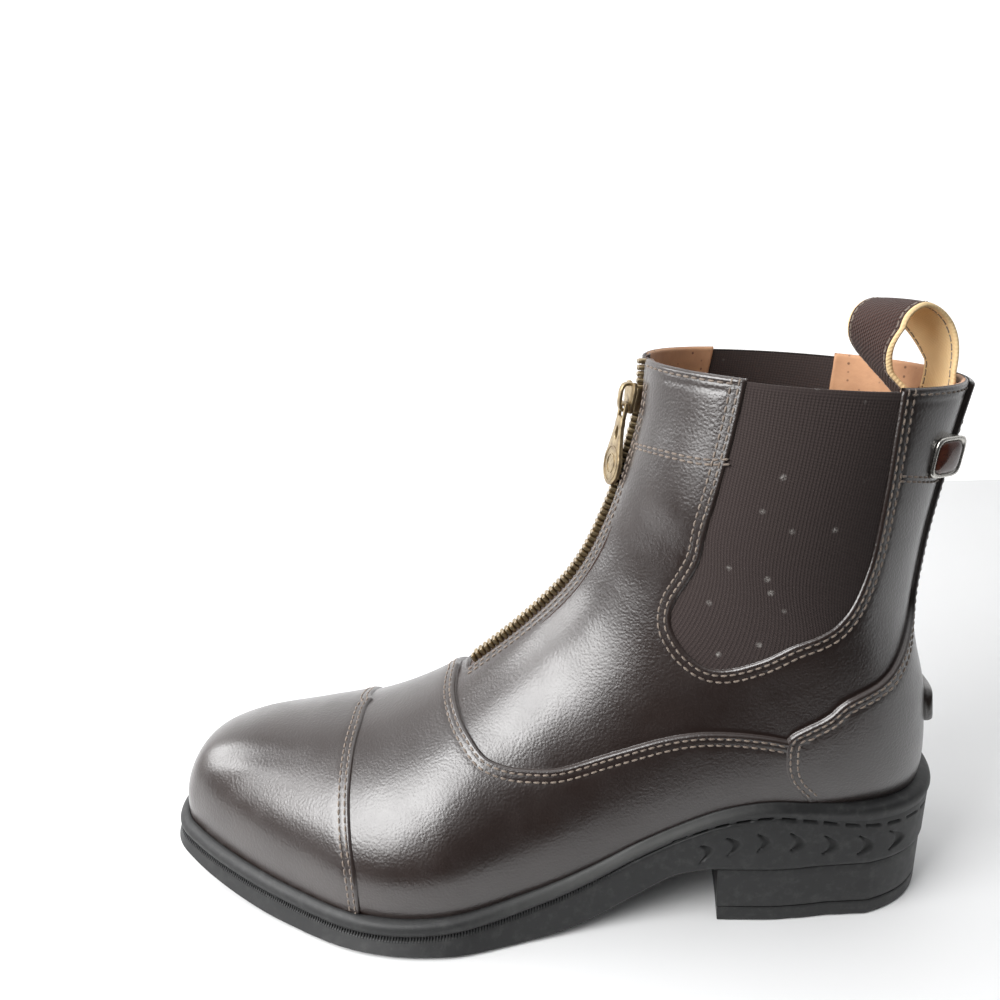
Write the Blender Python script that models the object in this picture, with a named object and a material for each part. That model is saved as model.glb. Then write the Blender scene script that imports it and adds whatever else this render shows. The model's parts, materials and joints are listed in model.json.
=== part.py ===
"""Left paddock boot: zip front, toe cap, elastic side gores and a low block heel.

Metres, +Z up. +X points to the toe, +Y to the outer side of the foot.
The origin is on the floor, at the centre of the heel's tread.
"""
import math

import bmesh
import bpy
import numpy as np
from mathutils import Matrix, Vector

# Sizes of the last
FOOT_LENGTH = 0.271
BOOT_HEIGHT = 0.186
BALL_WIDTH = 0.094
HEEL_BACK_X = -0.041

# Leather, elastic and their clearances
WALL = 0.0024
GAP = 0.0003
LAYER_GAP = 0.0004
VAMP_THICK = 0.0012
COUNTER_THICK = 0.0013
CAP_THICK = 0.0020
GORE_THICK = 0.0013
GORE_SUNK = 0.0007
GORE_BELOW_COLLAR = 0.0020
BACKSTAY_WIDTH = 0.030

# Sole and heel
RIM_HEIGHT = 0.0015
RIM_WIDTH = 0.0012
RIM_FLARE = 0.0008
RIM_FLARE_BACK = 0.0020
SOLE_BACK_Z = 0.020
LIFT_THICK = 0.0050
HEEL_BREAST_X = 0.0345
BREAST_HOLLOW = 0.0020
HEEL_CORNER = 0.0040
INSOLE_THICK = 0.0030
INSOLE_CLEAR = 0.0010

# Zip
SLOT_WIDTH = 0.0110
SLOT_WIDTH_TOP = 0.0135
TAPE_WIDTH = 0.0220
TAPE_THICK = 0.0009
CHAIN_WIDTH = 0.0064
CHAIN_WIDTH_TOP = 0.0102
CHAIN_PROUD = 0.0006
SLIDER_LENGTH = 0.0105
SLIDER_WIDTH = 0.0086
SLIDER_THICK = 0.0013
SLIDER_TURN = math.radians(18.0)
CROWN_HEIGHT = 0.0034
CROWN_WIDTH = 0.0022
CROWN_THICK = 0.0011
CROWN_REACH = 0.0038
HINGE_BELOW = 0.00231
TAB_LENGTH = 0.0270
TAB_THICK = 0.0014
TAB_DISC = 0.0135
TAB_NECK = 0.0062
TAB_BAR = 0.0013
TAB_ARM = 0.0011
TAB_EYE = 0.0052
TAB_SLOT_WIDTH = 0.0021
TAB_SLOT_TOP = 0.0070
TAB_SLOT_LOW = 0.0119
TAB_CLEAR = 0.0026

# Pull loop, badge and spur rest
LOOP_WIDTH = 0.0240
LOOP_THICK = 0.0016
BADGE_SIZE = 0.0130
BADGE_LIFT = 0.0006
BADGE_CLEAR = 0.0030
BADGE_THICK = 0.0014
BADGE_RIM = 0.0002
BADGE_DOME = 0.0100
BADGE_DOME_HEIGHT = 0.0016
SPUR_WIDTH = 0.0180
SPUR_PROUD = 0.0034
SPUR_FORWARD = 0.0100
SPUR_SLOPE = 0.0020

# Curved marks on both sides of the heel part of the sole
MARK_COUNT = 7
MARK_LENGTH = 0.0060
MARK_HEIGHT = 0.0062
MARK_THICK = 0.0014
MARK_PROUD = 0.0007
MARK_FIRST_X = 0.0330
MARK_PITCH = 0.0096
MARK_BELOW_TOP = 0.0120

# Facets: rows around the toe and heel, rings of the shaft, columns of half a section
OPEN_ROWS = 22
SHAFT_ROWS = 9
HALF_COLUMNS = 12
INSOLE_FIRST_ROW = 3

# Sections of the last from the toe tip to the collar. Each lies in a plane that holds the Y axis's
# direction, from a low base point to the ridge of the foot. Lengths along the foot are shares of
# FOOT_LENGTH, heights of BOOT_HEIGHT and breadths of BALL_WIDTH. The rest shape the curve: how high
# it is widest, and how full it is at the side, crown, tuck and underside. The columns:
# base_x, base_z, ridge_x, ridge_z, ridge_y, outer_y, inner_y, widest, side, crown, tuck, under.
SECTIONS = {
    "tip":       (0.994, 0.108, 0.994, 0.108, -0.050, -0.050, -0.050, 0.50, 0.62, 0.62, 0.75, 0.90),
    "toe_front": (0.985, 0.055, 0.985, 0.182, -0.050, 0.075, -0.200, 0.50, 0.62, 0.62, 0.75, 0.90),
    "toe_end":   (0.956, 0.015, 0.956, 0.235, -0.050, 0.160, -0.300, 0.46, 0.62, 0.60, 0.75, 0.90),
    "toe_mid":   (0.898, -0.012, 0.898, 0.268, -0.050, 0.272, -0.390, 0.42, 0.60, 0.56, 0.75, 0.90),
    "toe_back":  (0.810, -0.024, 0.810, 0.289, -0.050, 0.415, -0.445, 0.40, 0.58, 0.54, 0.75, 0.90),
    "cap_seam":  (0.710, -0.026, 0.710, 0.322, -0.050, 0.545, -0.465, 0.38, 0.54, 0.48, 0.75, 0.90),
    "ball":      (0.610, -0.020, 0.620, 0.382, -0.050, 0.568, -0.455, 0.36, 0.50, 0.42, 0.75, 0.90),
    "vamp":      (0.500, 0.005, 0.545, 0.462, -0.050, 0.495, -0.420, 0.34, 0.48, 0.38, 0.75, 0.90),
    "waist":     (0.385, 0.055, 0.490, 0.535, -0.035, 0.430, -0.400, 0.35, 0.50, 0.40, 0.75, 0.90),
    "instep":    (0.260, 0.125, 0.453, 0.595, -0.020, 0.410, -0.395, 0.40, 0.52, 0.44, 0.72, 0.85),
    "heel_seat": (0.120, 0.160, 0.428, 0.655, 0.000, 0.415, -0.410, 0.45, 0.54, 0.48, 0.70, 0.78),
    "heel_low":  (0.024, 0.200, 0.410, 0.710, 0.000, 0.430, -0.430, 0.50, 0.55, 0.50, 0.64, 0.64),
    "heel_high": (0.017, 0.370, 0.396, 0.760, 0.000, 0.455, -0.450, 0.49, 0.55, 0.52, 0.60, 0.60),
    "ankle":     (0.037, 0.520, 0.385, 0.810, 0.000, 0.470, -0.460, 0.50, 0.55, 0.52, 0.58, 0.57),
    "shaft_low": (0.031, 0.660, 0.374, 0.862, 0.000, 0.465, -0.460, 0.50, 0.56, 0.54, 0.56, 0.56),
    "shaft_top": (0.014, 0.800, 0.364, 0.925, 0.000, 0.450, -0.450, 0.50, 0.56, 0.56, 0.56, 0.56),
    "collar":    (-0.010, 0.950, 0.360, 1.000, 0.000, 0.430, -0.430, 0.50, 0.56, 0.58, 0.56, 0.56),
}
SECTION_TABLE = np.array(list(SECTIONS.values()))
SECTION_UNITS = np.array([FOOT_LENGTH, BOOT_HEIGHT] * 2 + [BALL_WIDTH] * 3 + [1] * 5)
PLACE = {name: place for place, name in enumerate(SECTIONS)}
COLLAR = PLACE["collar"]

# Places on the last, in sections: the zip's lower end, its slider and the badge
ZIP_BOTTOM = 6.35
SLIDER_PLACE = 15.0
BADGE_PLACE = 15.22

# Side view lines, as (share of FOOT_LENGTH from the heel's back, share of BOOT_HEIGHT)
SOLE_TOP_LINE = ((0.000, 0.226), (0.060, 0.226), (0.120, 0.228), (0.170, 0.237), (0.215, 0.245),
                 (0.260, 0.236), (0.301, 0.217), (0.373, 0.172), (0.430, 0.131), (0.500, 0.096),
                 (0.590, 0.070), (0.680, 0.062), (0.780, 0.067), (0.880, 0.080), (0.960, 0.098), (1.000, 0.108))
ARCH_LINE = ((0.286, 0.1075), (0.330, 0.095), (0.380, 0.060), (0.430, 0.0255), (0.480, 0.006), (0.530, 0.000))
TOE_SPRING_LINE = ((0.780, 0.000), (0.840, 0.004), (0.900, 0.016), (0.960, 0.036), (1.030, 0.064))
CAP_SEAM = ((0.7140, -0.080), (0.7145, 0.060), (0.7170, 0.130), (0.7230, 0.200), (0.7290, 0.270),
            (0.7320, 0.330), (0.7340, 0.520))
VAMP_SEAM = ((0.6010, 0.560), (0.6020, 0.470), (0.6045, 0.390), (0.5940, 0.357), (0.5720, 0.330),
             (0.5370, 0.3135), (0.5050, 0.312), (0.4680, 0.314), (0.4200, 0.333), (0.3720, 0.356),
             (0.3030, 0.383), (0.2350, 0.384), (0.2000, 0.376))
COUNTER_SEAM = ((0.1560, 0.080), (0.1700, 0.200), (0.1930, 0.262), (0.2040, 0.320), (0.2000, 0.376),
                (0.1820, 0.410), (0.1360, 0.448), (0.1020, 0.463), (0.0790, 0.508), (0.0570, 0.530),
                (0.0200, 0.570), (-0.0500, 0.600))
GORE_LINE = ((0.2480, 1.120), (0.2590, 0.990), (0.2760, 0.877), (0.2880, 0.797), (0.3020, 0.710),
             (0.3200, 0.634), (0.3340, 0.588), (0.3320, 0.553), (0.3150, 0.522), (0.2870, 0.505),
             (0.2390, 0.524), (0.1980, 0.557), (0.1550, 0.592), (0.1365, 0.623), (0.1240, 0.670),
             (0.1150, 0.727), (0.1096, 0.807), (0.1000, 0.960), (0.0920, 1.120))

# How far the sole's side stands out from the last, as shares of SOLE_MARGIN, at six places along
# the foot, and how deep each level is under the sole's top line
SOLE_MARGIN = 0.0050
SOLE_STATIONS = (0.030, 0.100, 0.160, 0.340, 0.600, 1.000)
SOLE_LEVELS = {
    "bead_shoulder": (1.16, 1.08, 0.66, 0.60, 0.88, 1.05),
    "bead":          (1.36, 1.24, 0.84, 0.74, 1.04, 1.28),
    "bead_low":      (1.30, 1.20, 0.78, 0.66, 0.98, 1.20),
    "groove":        (1.20, 1.12, 0.70, 0.46, 0.70, 0.95),
    "wall_top":      (1.24, 1.16, 0.74, 0.60, 0.98, 1.26),
    "wall_edge":     (1.10, 1.20, 0.70, 0.50, 1.46, 1.50),
    "tread_edge":    (1.00, 1.12, 0.60, 0.34, 1.26, 1.20),
}
BEAD_DEPTHS = {"bead_shoulder": 0.0012, "bead": 0.0028, "bead_low": 0.0048, "groove": 0.0058,
               "wall_top": 0.0068}
TREAD_BEVEL = 0.0011

# The heel block and its lift: how far each level stands out from the last at five places along the foot
HEEL_STATIONS = (0.030, 0.100, 0.150, 0.200, 0.280)
HEEL_LEVELS = {
    "top":       (0.0048, 0.0054, 0.0031, 0.0026, 0.0018),
    "block_low": (0.0042, 0.0060, 0.0034, 0.0027, 0.0022),
    "floor":     (0.0040, 0.0062, 0.0035, 0.0028, 0.0024),
}

# The pull loop in side view, measured from the top of the collar's back: forward and up
LOOP_PATH = ((0.0096, -0.0130), (0.0073, -0.0040), (0.0070, 0.0040), (0.0092, 0.0130), (0.0150, 0.0202),
             (0.0222, 0.0232), (0.0285, 0.0200), (0.0300, 0.0125), (0.0265, 0.0045), (0.0200, -0.0030),
             (0.0144, -0.0100), (0.0128, -0.0160))

# The loop turns to the outer side as it rises: by how much, between which heights, and about where
LOOP_TURN = math.radians(24.0)
LOOP_TURN_FROM, LOOP_TURN_TO = 0.0030, 0.0170
LOOP_MIDDLE = 0.0185

# The spur rest's lower and upper edge, as shares of BOOT_HEIGHT
SPUR_EDGES = (0.352, 0.392)

# The sole's platform steps out to the toe cap between these shares of FOOT_LENGTH behind its seam
CAP_BLEND = (0.030, 0.004)

# Cutters reach past the boot at its sides, back, top and floor, and both gores are cut apart here
SPAN = BALL_WIDTH
BELOW_FLOOR = -SOLE_BACK_Z
BEHIND_HEEL = HEEL_BACK_X - BACKSTAY_WIDTH
ABOVE_COLLAR = BOOT_HEIGHT + SOLE_BACK_Z
BEFORE_BACKSTAY = HEEL_BACK_X + BACKSTAY_WIDTH
CORE = BALL_WIDTH * 0.075
COUNTER_SEAM_BEFORE_VAMP = 12


def clear_scene():
    for item in list(bpy.data.objects):
        bpy.data.objects.remove(item, do_unlink=True)


def material(name, colour, roughness, metallic=0.0):
    made = bpy.data.materials.new(name)
    made.use_nodes = True
    shader = made.node_tree.nodes["Principled BSDF"]
    shader.inputs["Base Color"].default_value = (*colour, 1.0)
    shader.inputs["Roughness"].default_value = roughness
    shader.inputs["Metallic"].default_value = metallic
    made.diffuse_color = (*colour, 1.0)
    return made


def place_mesh(name, work, finish):
    """A new object from a bmesh, its faces pointing out."""
    bmesh.ops.recalc_face_normals(work, faces=work.faces)
    mesh = bpy.data.meshes.new(name)
    work.to_mesh(mesh)
    work.free()
    made = bpy.data.objects.new(name, mesh)
    bpy.context.scene.collection.objects.link(made)
    if finish is not None:
        mesh.materials.append(finish)
        mesh.shade_smooth()
        mesh.set_sharp_from_angle(angle=math.radians(35))
    return made


def solid(name, points, faces, finish=None):
    work = bmesh.new()
    corners = [work.verts.new(point) for point in points]
    for face in faces:
        work.faces.new([corners[index] for index in face])
    return place_mesh(name, work, finish)


def loft(name, loops, finish=None, closed=False):
    """A solid through loops of equally many points; its first and last loops are capped."""
    loops = [np.asarray(loop) for loop in loops]
    count = len(loops[0])
    faces = []
    ring_pairs = len(loops) if closed else len(loops) - 1
    for low in range(ring_pairs):
        high = (low + 1) % len(loops)
        for index in range(count):
            after = (index + 1) % count
            faces.append((low * count + index, low * count + after, high * count + after, high * count + index))
    if not closed:
        faces.append(tuple(range(count)))
        faces.append(tuple(range((len(loops) - 1) * count, len(loops) * count)))
    return solid(name, np.concatenate(loops), faces, finish)


def as_cutter(made):
    made.hide_render = True
    made.display_type = "WIRE"
    return made


def apply_shape(made, cutter, operation):
    as_cutter(cutter)
    step = made.modifiers.new(f"{operation.lower()}_{cutter.name}", "BOOLEAN")
    step.operation = operation
    step.solver = "EXACT"
    step.object = cutter


def through(rows, at, ghost):
    """A smooth curve through the rows of a table, starting as if a ghost row came first."""
    rows = np.vstack([ghost, rows, 2 * rows[-1] - rows[-2]])
    at = np.clip(np.asarray(at, float), 0, len(rows) - 3)
    first = np.minimum(at.astype(int), len(rows) - 4)
    t = (at - first)[..., None]
    a, b, c, d = rows[first], rows[first + 1], rows[first + 2], rows[first + 3]
    return 0.5 * (2 * b + (c - a) * t + (2 * a - 5 * b + 4 * c - d) * t**2 + (3 * b - 3 * c + d - a) * t**3)


def side_line(shares, steps):
    """A smooth side view line in metres, with a number of steps between its points."""
    rows = np.array(shares) * (FOOT_LENGTH, BOOT_HEIGHT) + (HEEL_BACK_X, 0)
    at = np.linspace(0, len(rows) - 1, (len(rows) - 1) * steps + 1)
    return through(rows, at, 2 * rows[0] - rows[1])


def height_on(shares, x):
    """The height of a side view line over x, level beyond its ends."""
    line = side_line(shares, 8)
    return np.interp(x, line[:, 0], line[:, 1])


def tip_ghost():
    """The toe tip mirrors its first section, so that the tip is round."""
    tip, front = SECTION_TABLE[0], SECTION_TABLE[1]
    ghost = front.copy()
    ghost[1], ghost[3] = 2 * tip[1] - front[1], 2 * tip[3] - front[3]
    ghost[5], ghost[6] = 2 * tip[4] - front[5], 2 * tip[4] - front[6]
    return ghost


def bezier(p0, p1, p2, p3, t):
    u = 1 - t
    return u**3 * p0 + 3 * u**2 * t * p1 + 3 * u * t**2 * p2 + t**3 * p3


def last(s, v):
    """A point of the last: s runs over the sections, v from the ridge (0) down each side to the base (2)."""
    s, v = np.broadcast_arrays(np.asarray(s, float), np.asarray(v, float))
    row = through(SECTION_TABLE, s, tip_ghost()) * SECTION_UNITS
    base_x, base_z, ridge_x, ridge_z, ridge_y, outer_y, inner_y, widest, side, crown, tuck, under = np.moveaxis(
        row, -1, 0)
    turn = np.abs(v)
    breadth = np.where(v >= 0, outer_y, inner_y) - ridge_y
    upper_half = turn <= 1
    t = np.where(upper_half, turn, 2 - turn)
    across = bezier(0, np.where(upper_half, crown, under), 1, 1, t)
    along = bezier(1, 1, np.where(upper_half, side, tuck), 0, t)
    up = np.where(upper_half, widest + (1 - widest) * along, widest * (1 - along))
    x = HEEL_BACK_X + base_x + (ridge_x - base_x) * up
    return np.stack([x, ridge_y + breadth * across, base_z + (ridge_z - base_z) * up], -1)


def outward(s, v):
    """The last's outward normal."""
    step = 0.001
    s = np.maximum(s, 0.03)
    along = last(s + step, v) - last(s - step, v)
    around = last(s, v + step) - last(s, v - step)
    normal = np.cross(around, along)
    return normal / np.linalg.norm(normal, axis=-1, keepdims=True)


def skin(s, v, out):
    """The last's surface moved out by a distance."""
    s, v = np.broadcast_arrays(np.asarray(s, float), np.asarray(v, float))
    return last(s, v) + outward(s, v) * out


def seat_height(x):
    return height_on(SOLE_TOP_LINE, x) - RIM_HEIGHT


def tread_height(x):
    arch, spring = height_on(ARCH_LINE, x), height_on(TOE_SPRING_LINE, x)
    flat_back = FOOT_LENGTH * ARCH_LINE[0][0] + HEEL_BACK_X
    return np.where(x < flat_back, SOLE_BACK_Z, np.maximum(np.minimum(arch, SOLE_BACK_Z), spring))


def find(low, high, test):
    """Halve the range between a place where the test holds (high) and one where it fails (low)."""
    for _ in range(34):
        middle = (low + high) / 2
        holds = test(middle)
        low, high = np.where(holds, low, middle), np.where(holds, middle, high)
    return (low + high) / 2


def clear_of_seat(points, lift):
    return points[..., 2] > seat_height(points[..., 0]) + lift


def feather_rows():
    """The rows that end just above the seat: their places, and where each side of them ends."""
    front = find(np.array(0.0), np.array(3.0), lambda s: clear_of_seat(last(s, 0.0), GAP))
    back = find(np.array(8.0), np.array(14.0), lambda s: clear_of_seat(last(s, 2.0), GAP))
    rows = front + (back - front) * (1 - np.cos(np.linspace(0, math.pi, OPEN_ROWS + 1))) / 2
    ends = []
    for sign in (1, -1):
        start = np.full(OPEN_ROWS - 1, 2.0)
        middle = find(start, start * 0, lambda v: clear_of_seat(last(rows[1:-1], sign * v), GAP))
        ends.append(np.concatenate([[0], middle, [2]]))
    return rows, *ends


def feather_loop(out, lift):
    """The lower edge of a shell, raised over the seat by a lift: tip, outer side, heel, inner side.
    The sole and the insole are built on it, so that their facets run along the upper's."""
    rows, outer, inner = feather_rows()
    loop = np.concatenate([skin(rows, outer, out), skin(rows[1:-1], -inner[1:-1], out)[::-1]])
    loop[:, 2] = seat_height(loop[:, 0]) + lift
    return loop


def even_columns(row, outer_end, inner_end):
    """Evenly spaced places around one row, from its inner end over the ridge to its outer end."""
    halves = []
    for end in (-inner_end, outer_end):
        fine = np.linspace(0, end, 49)
        points = last(row, fine)
        length = np.concatenate([[0], np.cumsum(np.linalg.norm(np.diff(points, axis=0), axis=1))])
        halves.append(np.interp(np.linspace(0, length[-1], HALF_COLUMNS + 1), length, fine))
    return np.concatenate([halves[0][::-1], halves[1][1:]])


def shell_surface(out):
    """The rows of one side of a shell, from the toe tip to the collar. All shells share their places
    on the last, so that their facets are parallel, and their lower edges are level with the seat."""
    places, outer, inner = feather_rows()
    rows = []
    for index in range(1, OPEN_ROWS + 1):
        row = skin(places[index], even_columns(places[index], outer[index], inner[index]), out)
        row[[0, -1], 2] = seat_height(row[[0, -1], 0]) + GAP
        rows.append(row)
    for s in np.linspace(places[-1], COLLAR, SHAFT_ROWS + 1)[1:]:
        rows.append(skin(s, even_columns(s, 2.0, 2.0), out))
    return skin(places[0], 0.0, out), np.array(rows)


def shell(name, inner_out, outer_out, finish=None):
    """A shell between two distances from the last, open below and at the collar."""
    columns = 2 * HALF_COLUMNS + 1
    points, faces, index = [], [], []
    for out in (inner_out, outer_out):
        tip, rows = shell_surface(out)
        start = len(points)
        points.append(tip)
        grid = np.zeros((len(rows), columns), int)
        for row, line in enumerate(rows):
            ring = row >= OPEN_ROWS - 1
            grid[row] = len(points) + np.arange(columns)
            if ring:
                grid[row, -1] = grid[row, 0]
            points.extend(line[:-1] if ring else line)
        index.append((start, grid))
        for column in range(columns - 1):
            faces.append((start, grid[0, column], grid[0, column + 1]))
            for row in range(len(rows) - 1):
                a, b = grid[row, column], grid[row, column + 1]
                c, d = grid[row + 1, column + 1], grid[row + 1, column]
                split = ((a, b, c), (a, c, d)) if column < HALF_COLUMNS else ((a, b, d), (b, c, d))
                faces.extend(face for face in split if len(set(face)) == 3)
    (low_tip, low), (high_tip, high) = index
    for side in (0, columns - 1):
        edge_low = [low_tip, *low[:OPEN_ROWS, side]]
        edge_high = [high_tip, *high[:OPEN_ROWS, side]]
        for a, b, c, d in zip(edge_low, edge_low[1:], edge_high[1:], edge_high):
            faces.extend(((a, b, c), (a, c, d)))
    for column in range(columns - 1):
        a, b = low[-1, column], low[-1, column + 1]
        c, d = high[-1, column + 1], high[-1, column]
        faces.extend(((a, b, c), (a, c, d)))
    return solid(name, points, faces, finish)


def side_prism(name, outline, low_y, high_y):
    """A cutter: a side view outline pushed through along Y."""
    outline = np.asarray(outline)
    flat = [np.column_stack([outline[:, 0], np.full(len(outline), y), outline[:, 1]]) for y in (low_y, high_y)]
    return as_cutter(loft(name, flat))


def moved_line(line, distance):
    """A side view line moved to the left of its own direction."""
    along = np.gradient(line, axis=0)
    left = np.column_stack([-along[:, 1], along[:, 0]])
    return line + distance * left / np.linalg.norm(left, axis=1, keepdims=True)


def ridge_frame(s):
    """A point of the ridge, with its outward, sideways and upward directions in the middle plane."""
    point = last(s, 0.0)
    rise = last(s + 0.01, 0.0) - last(s - 0.01, 0.0)
    rise[1] = 0
    rise /= np.linalg.norm(rise)
    side = np.array([0.0, 1.0, 0.0])
    return point, np.cross(side, rise), side, rise


def ridge_band(name, rows, widths, low, high, finish=None, past_end=0.0):
    """A strip along the ridge, with a width at each row and a lower and an upper face."""
    loops = []
    for s, width in zip(rows, widths):
        point, out, side, rise = ridge_frame(s)
        half = side * width / 2
        if s == rows[-1]:
            point = point + rise * past_end
        loops.append([point + out * low - half, point + out * low + half,
                      point + out * high + half, point + out * high - half])
    return loft(name, loops, finish)


def make_upper(leather):
    upper = shell("upper", -WALL, 0.0, leather)
    gore = side_line(GORE_LINE, 3)
    for name, low_y, high_y in (("gore_window_outer", CORE, SPAN), ("gore_window_inner", -SPAN, -CORE)):
        apply_shape(upper, side_prism(name, gore, low_y, high_y), "DIFFERENCE")
    rows = np.linspace(ZIP_BOTTOM, COLLAR, 15)
    widths = np.interp(rows, (ZIP_BOTTOM, SLIDER_PLACE, COLLAR), (SLOT_WIDTH, SLOT_WIDTH, SLOT_WIDTH_TOP))
    slot = ridge_band("zip_slot", rows, widths, -3 * WALL, 2 * WALL, past_end=2 * WALL)
    apply_shape(upper, slot, "DIFFERENCE")


def make_gores(elastic):
    window = side_line(GORE_LINE, 3)
    inset = moved_line(window, -GAP)
    front, back = gore_top_line()
    top = inset[:, 1].max()
    above = (front, back, (back[0], top), (front[0], top))
    for name, low_y, high_y in (("gore_outer", CORE, SPAN), ("gore_inner", -SPAN, -CORE)):
        gore = shell(name, -GORE_SUNK - GORE_THICK, -GORE_SUNK, elastic)
        apply_shape(gore, side_prism(f"{name}_outline", inset, low_y, high_y), "INTERSECT")
        apply_shape(gore, side_prism(f"{name}_top", above, -SPAN * 1.1, SPAN * 1.1), "DIFFERENCE")


def gore_top_line():
    """The gores' top edge in side view: a front and a back point, each well past the collar."""
    front, back = last(COLLAR, 0.0), last(COLLAR, 2.0)
    slope = (front[2] - back[2]) / (front[0] - back[0])
    return [(point[0] + step, point[2] - GORE_BELOW_COLLAR + step * slope)
            for point, step in ((front, SOLE_BACK_Z), (back, -SOLE_BACK_Z))]


def make_overlays(leather):
    cap_line = side_line(CAP_SEAM, 2)
    counter_line = side_line(COUNTER_SEAM, 3)
    vamp_line = side_line(VAMP_SEAM, 3)
    ahead = FOOT_LENGTH

    cap = shell("toe_cap", LAYER_GAP, LAYER_GAP + CAP_THICK, leather)
    cap_outline = [*cap_line, (ahead, cap_line[-1][1]), (ahead, cap_line[0][1])]
    apply_shape(cap, side_prism("toe_cap_outline", cap_outline, -SPAN, SPAN), "INTERSECT")

    counter = shell("counter", LAYER_GAP, LAYER_GAP + COUNTER_THICK, leather)
    counter_outline = [*counter_line, (BEHIND_HEEL, counter_line[-1][1]), (BEHIND_HEEL, BELOW_FLOOR),
                       (counter_line[0][0], BELOW_FLOOR)]
    region = side_prism("counter_outline", counter_outline, -SPAN, SPAN)
    strip_bottom = counter_line[-4][1] - SOLE_BACK_Z
    strip = [(BEFORE_BACKSTAY, strip_bottom), (BEFORE_BACKSTAY, ABOVE_COLLAR),
             (BEHIND_HEEL, ABOVE_COLLAR), (BEHIND_HEEL, strip_bottom)]
    apply_shape(region, side_prism("backstay_strip", strip, -BACKSTAY_WIDTH / 2, BACKSTAY_WIDTH / 2), "UNION")
    apply_shape(counter, region, "INTERSECT")

    vamp = shell("vamp", LAYER_GAP, LAYER_GAP + VAMP_THICK, leather)
    before_counter = moved_line(counter_line[:COUNTER_SEAM_BEFORE_VAMP], -GAP)
    side_end = vamp_line[:, 0] > before_counter[-1][0] + GAP
    vamp_outline = [*moved_line(cap_line, GAP)[::-1], (before_counter[0][0], cap_line[0][1]), *before_counter,
                    *vamp_line[side_end][::-1]]
    apply_shape(vamp, side_prism("vamp_outline", vamp_outline, -SPAN, SPAN), "INTERSECT")


def make_spur_rest(leather):
    low = LAYER_GAP + COUNTER_THICK + LAYER_GAP
    high = LAYER_GAP + COUNTER_THICK + SPUR_PROUD
    rest = shell("spur_rest", low, high, leather)
    base, top = np.array(SPUR_EDGES) * BOOT_HEIGHT
    outline = ((HEEL_BACK_X + SPUR_FORWARD, base), (HEEL_BACK_X + SPUR_FORWARD, top),
               (BEHIND_HEEL, top + SPUR_SLOPE / 2), (BEHIND_HEEL, base + SPUR_SLOPE * 2))
    apply_shape(rest, side_prism("spur_rest_outline", outline, -SPUR_WIDTH / 2, SPUR_WIDTH / 2), "INTERSECT")


def plan_offset(loop, distance):
    """A loop moved sideways in plan, away from its middle."""
    along = np.roll(loop, -1, axis=0) - np.roll(loop, 1, axis=0)
    away = np.column_stack([along[:, 1], -along[:, 0]])
    middle = loop[:, :2].mean(axis=0)
    if ((loop[:, :2] - middle) * away).sum() < 0:
        away = -away
    away /= np.linalg.norm(away, axis=1, keepdims=True)
    moved = loop.copy()
    moved[:, :2] += away * np.asarray(distance)[..., None]
    return moved


def foot_share(loop):
    return np.clip((loop[:, 0] - HEEL_BACK_X) / FOOT_LENGTH, 0, 1)


def cap_blend(low, high):
    """Between two loops: the first behind the toe cap, the second around it."""
    start, end = ((CAP_SEAM[3][0] - share) * FOOT_LENGTH + HEEL_BACK_X for share in CAP_BLEND)
    share = np.clip((low[:, 0] - start) / (end - start), 0, 1)[:, None]
    return low + (high - low) * share


def span_faces(pairs):
    """Faces across a plate, from pairs of points on its outer and inner edge."""
    faces = []
    for (a, d), (b, c) in zip(pairs, pairs[1:]):
        faces.extend(face for face in ((a, b, c), (a, c, d)) if len(set(face)) == 3)
    return faces


def make_outsole(rubber):
    thin = LAYER_GAP + COUNTER_THICK + GAP
    thick = LAYER_GAP + CAP_THICK + GAP
    platform = cap_blend(feather_loop(thin, 0.0), feather_loop(thick, 0.0))
    flare = np.interp(platform[:, 0], (HEEL_BACK_X, 0.0), (RIM_FLARE_BACK, RIM_FLARE))
    rim_inner = plan_offset(platform, flare)
    rim_inner[:, 2] += RIM_HEIGHT
    loops = [platform, rim_inner, plan_offset(rim_inner, np.full(len(platform), RIM_WIDTH))]
    base = feather_loop(0.0, 0.0)
    share = foot_share(base)
    top = height_on(SOLE_TOP_LINE, base[:, 0])
    for name, margins in SOLE_LEVELS.items():
        margin = np.interp(share, SOLE_STATIONS, margins) * SOLE_MARGIN
        level = plan_offset(base, margin)
        if name in BEAD_DEPTHS:
            level[:, 2] = top - BEAD_DEPTHS[name]
        else:
            level[:, 2] = tread_height(level[:, 0]) + (TREAD_BEVEL if name == "wall_edge" else 0)
        loops.append(level)
    count = len(platform)
    points = np.concatenate(loops)
    faces = []
    for low in range(len(loops) - 1):
        for index in range(count):
            after = (index + 1) % count
            a, b = low * count + index, low * count + after
            faces.extend(((a, b, b + count), (a, b + count, a + count)))
    for start in (0, (len(loops) - 1) * count):
        faces.extend(span_faces([(start + row, start + (count - row) % count) for row in range(OPEN_ROWS + 1)]))
    sole = solid("outsole", points, faces, rubber)
    heel_seat = ((BEHIND_HEEL, BELOW_FLOOR), (HEEL_BREAST_X + GAP, BELOW_FLOOR),
                 (HEEL_BREAST_X + GAP, SOLE_BACK_Z), (BEHIND_HEEL, SOLE_BACK_Z))
    apply_shape(sole, side_prism("heel_seat", heel_seat, -SPAN, SPAN), "DIFFERENCE")
    add_side_marks(sole, base)


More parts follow.
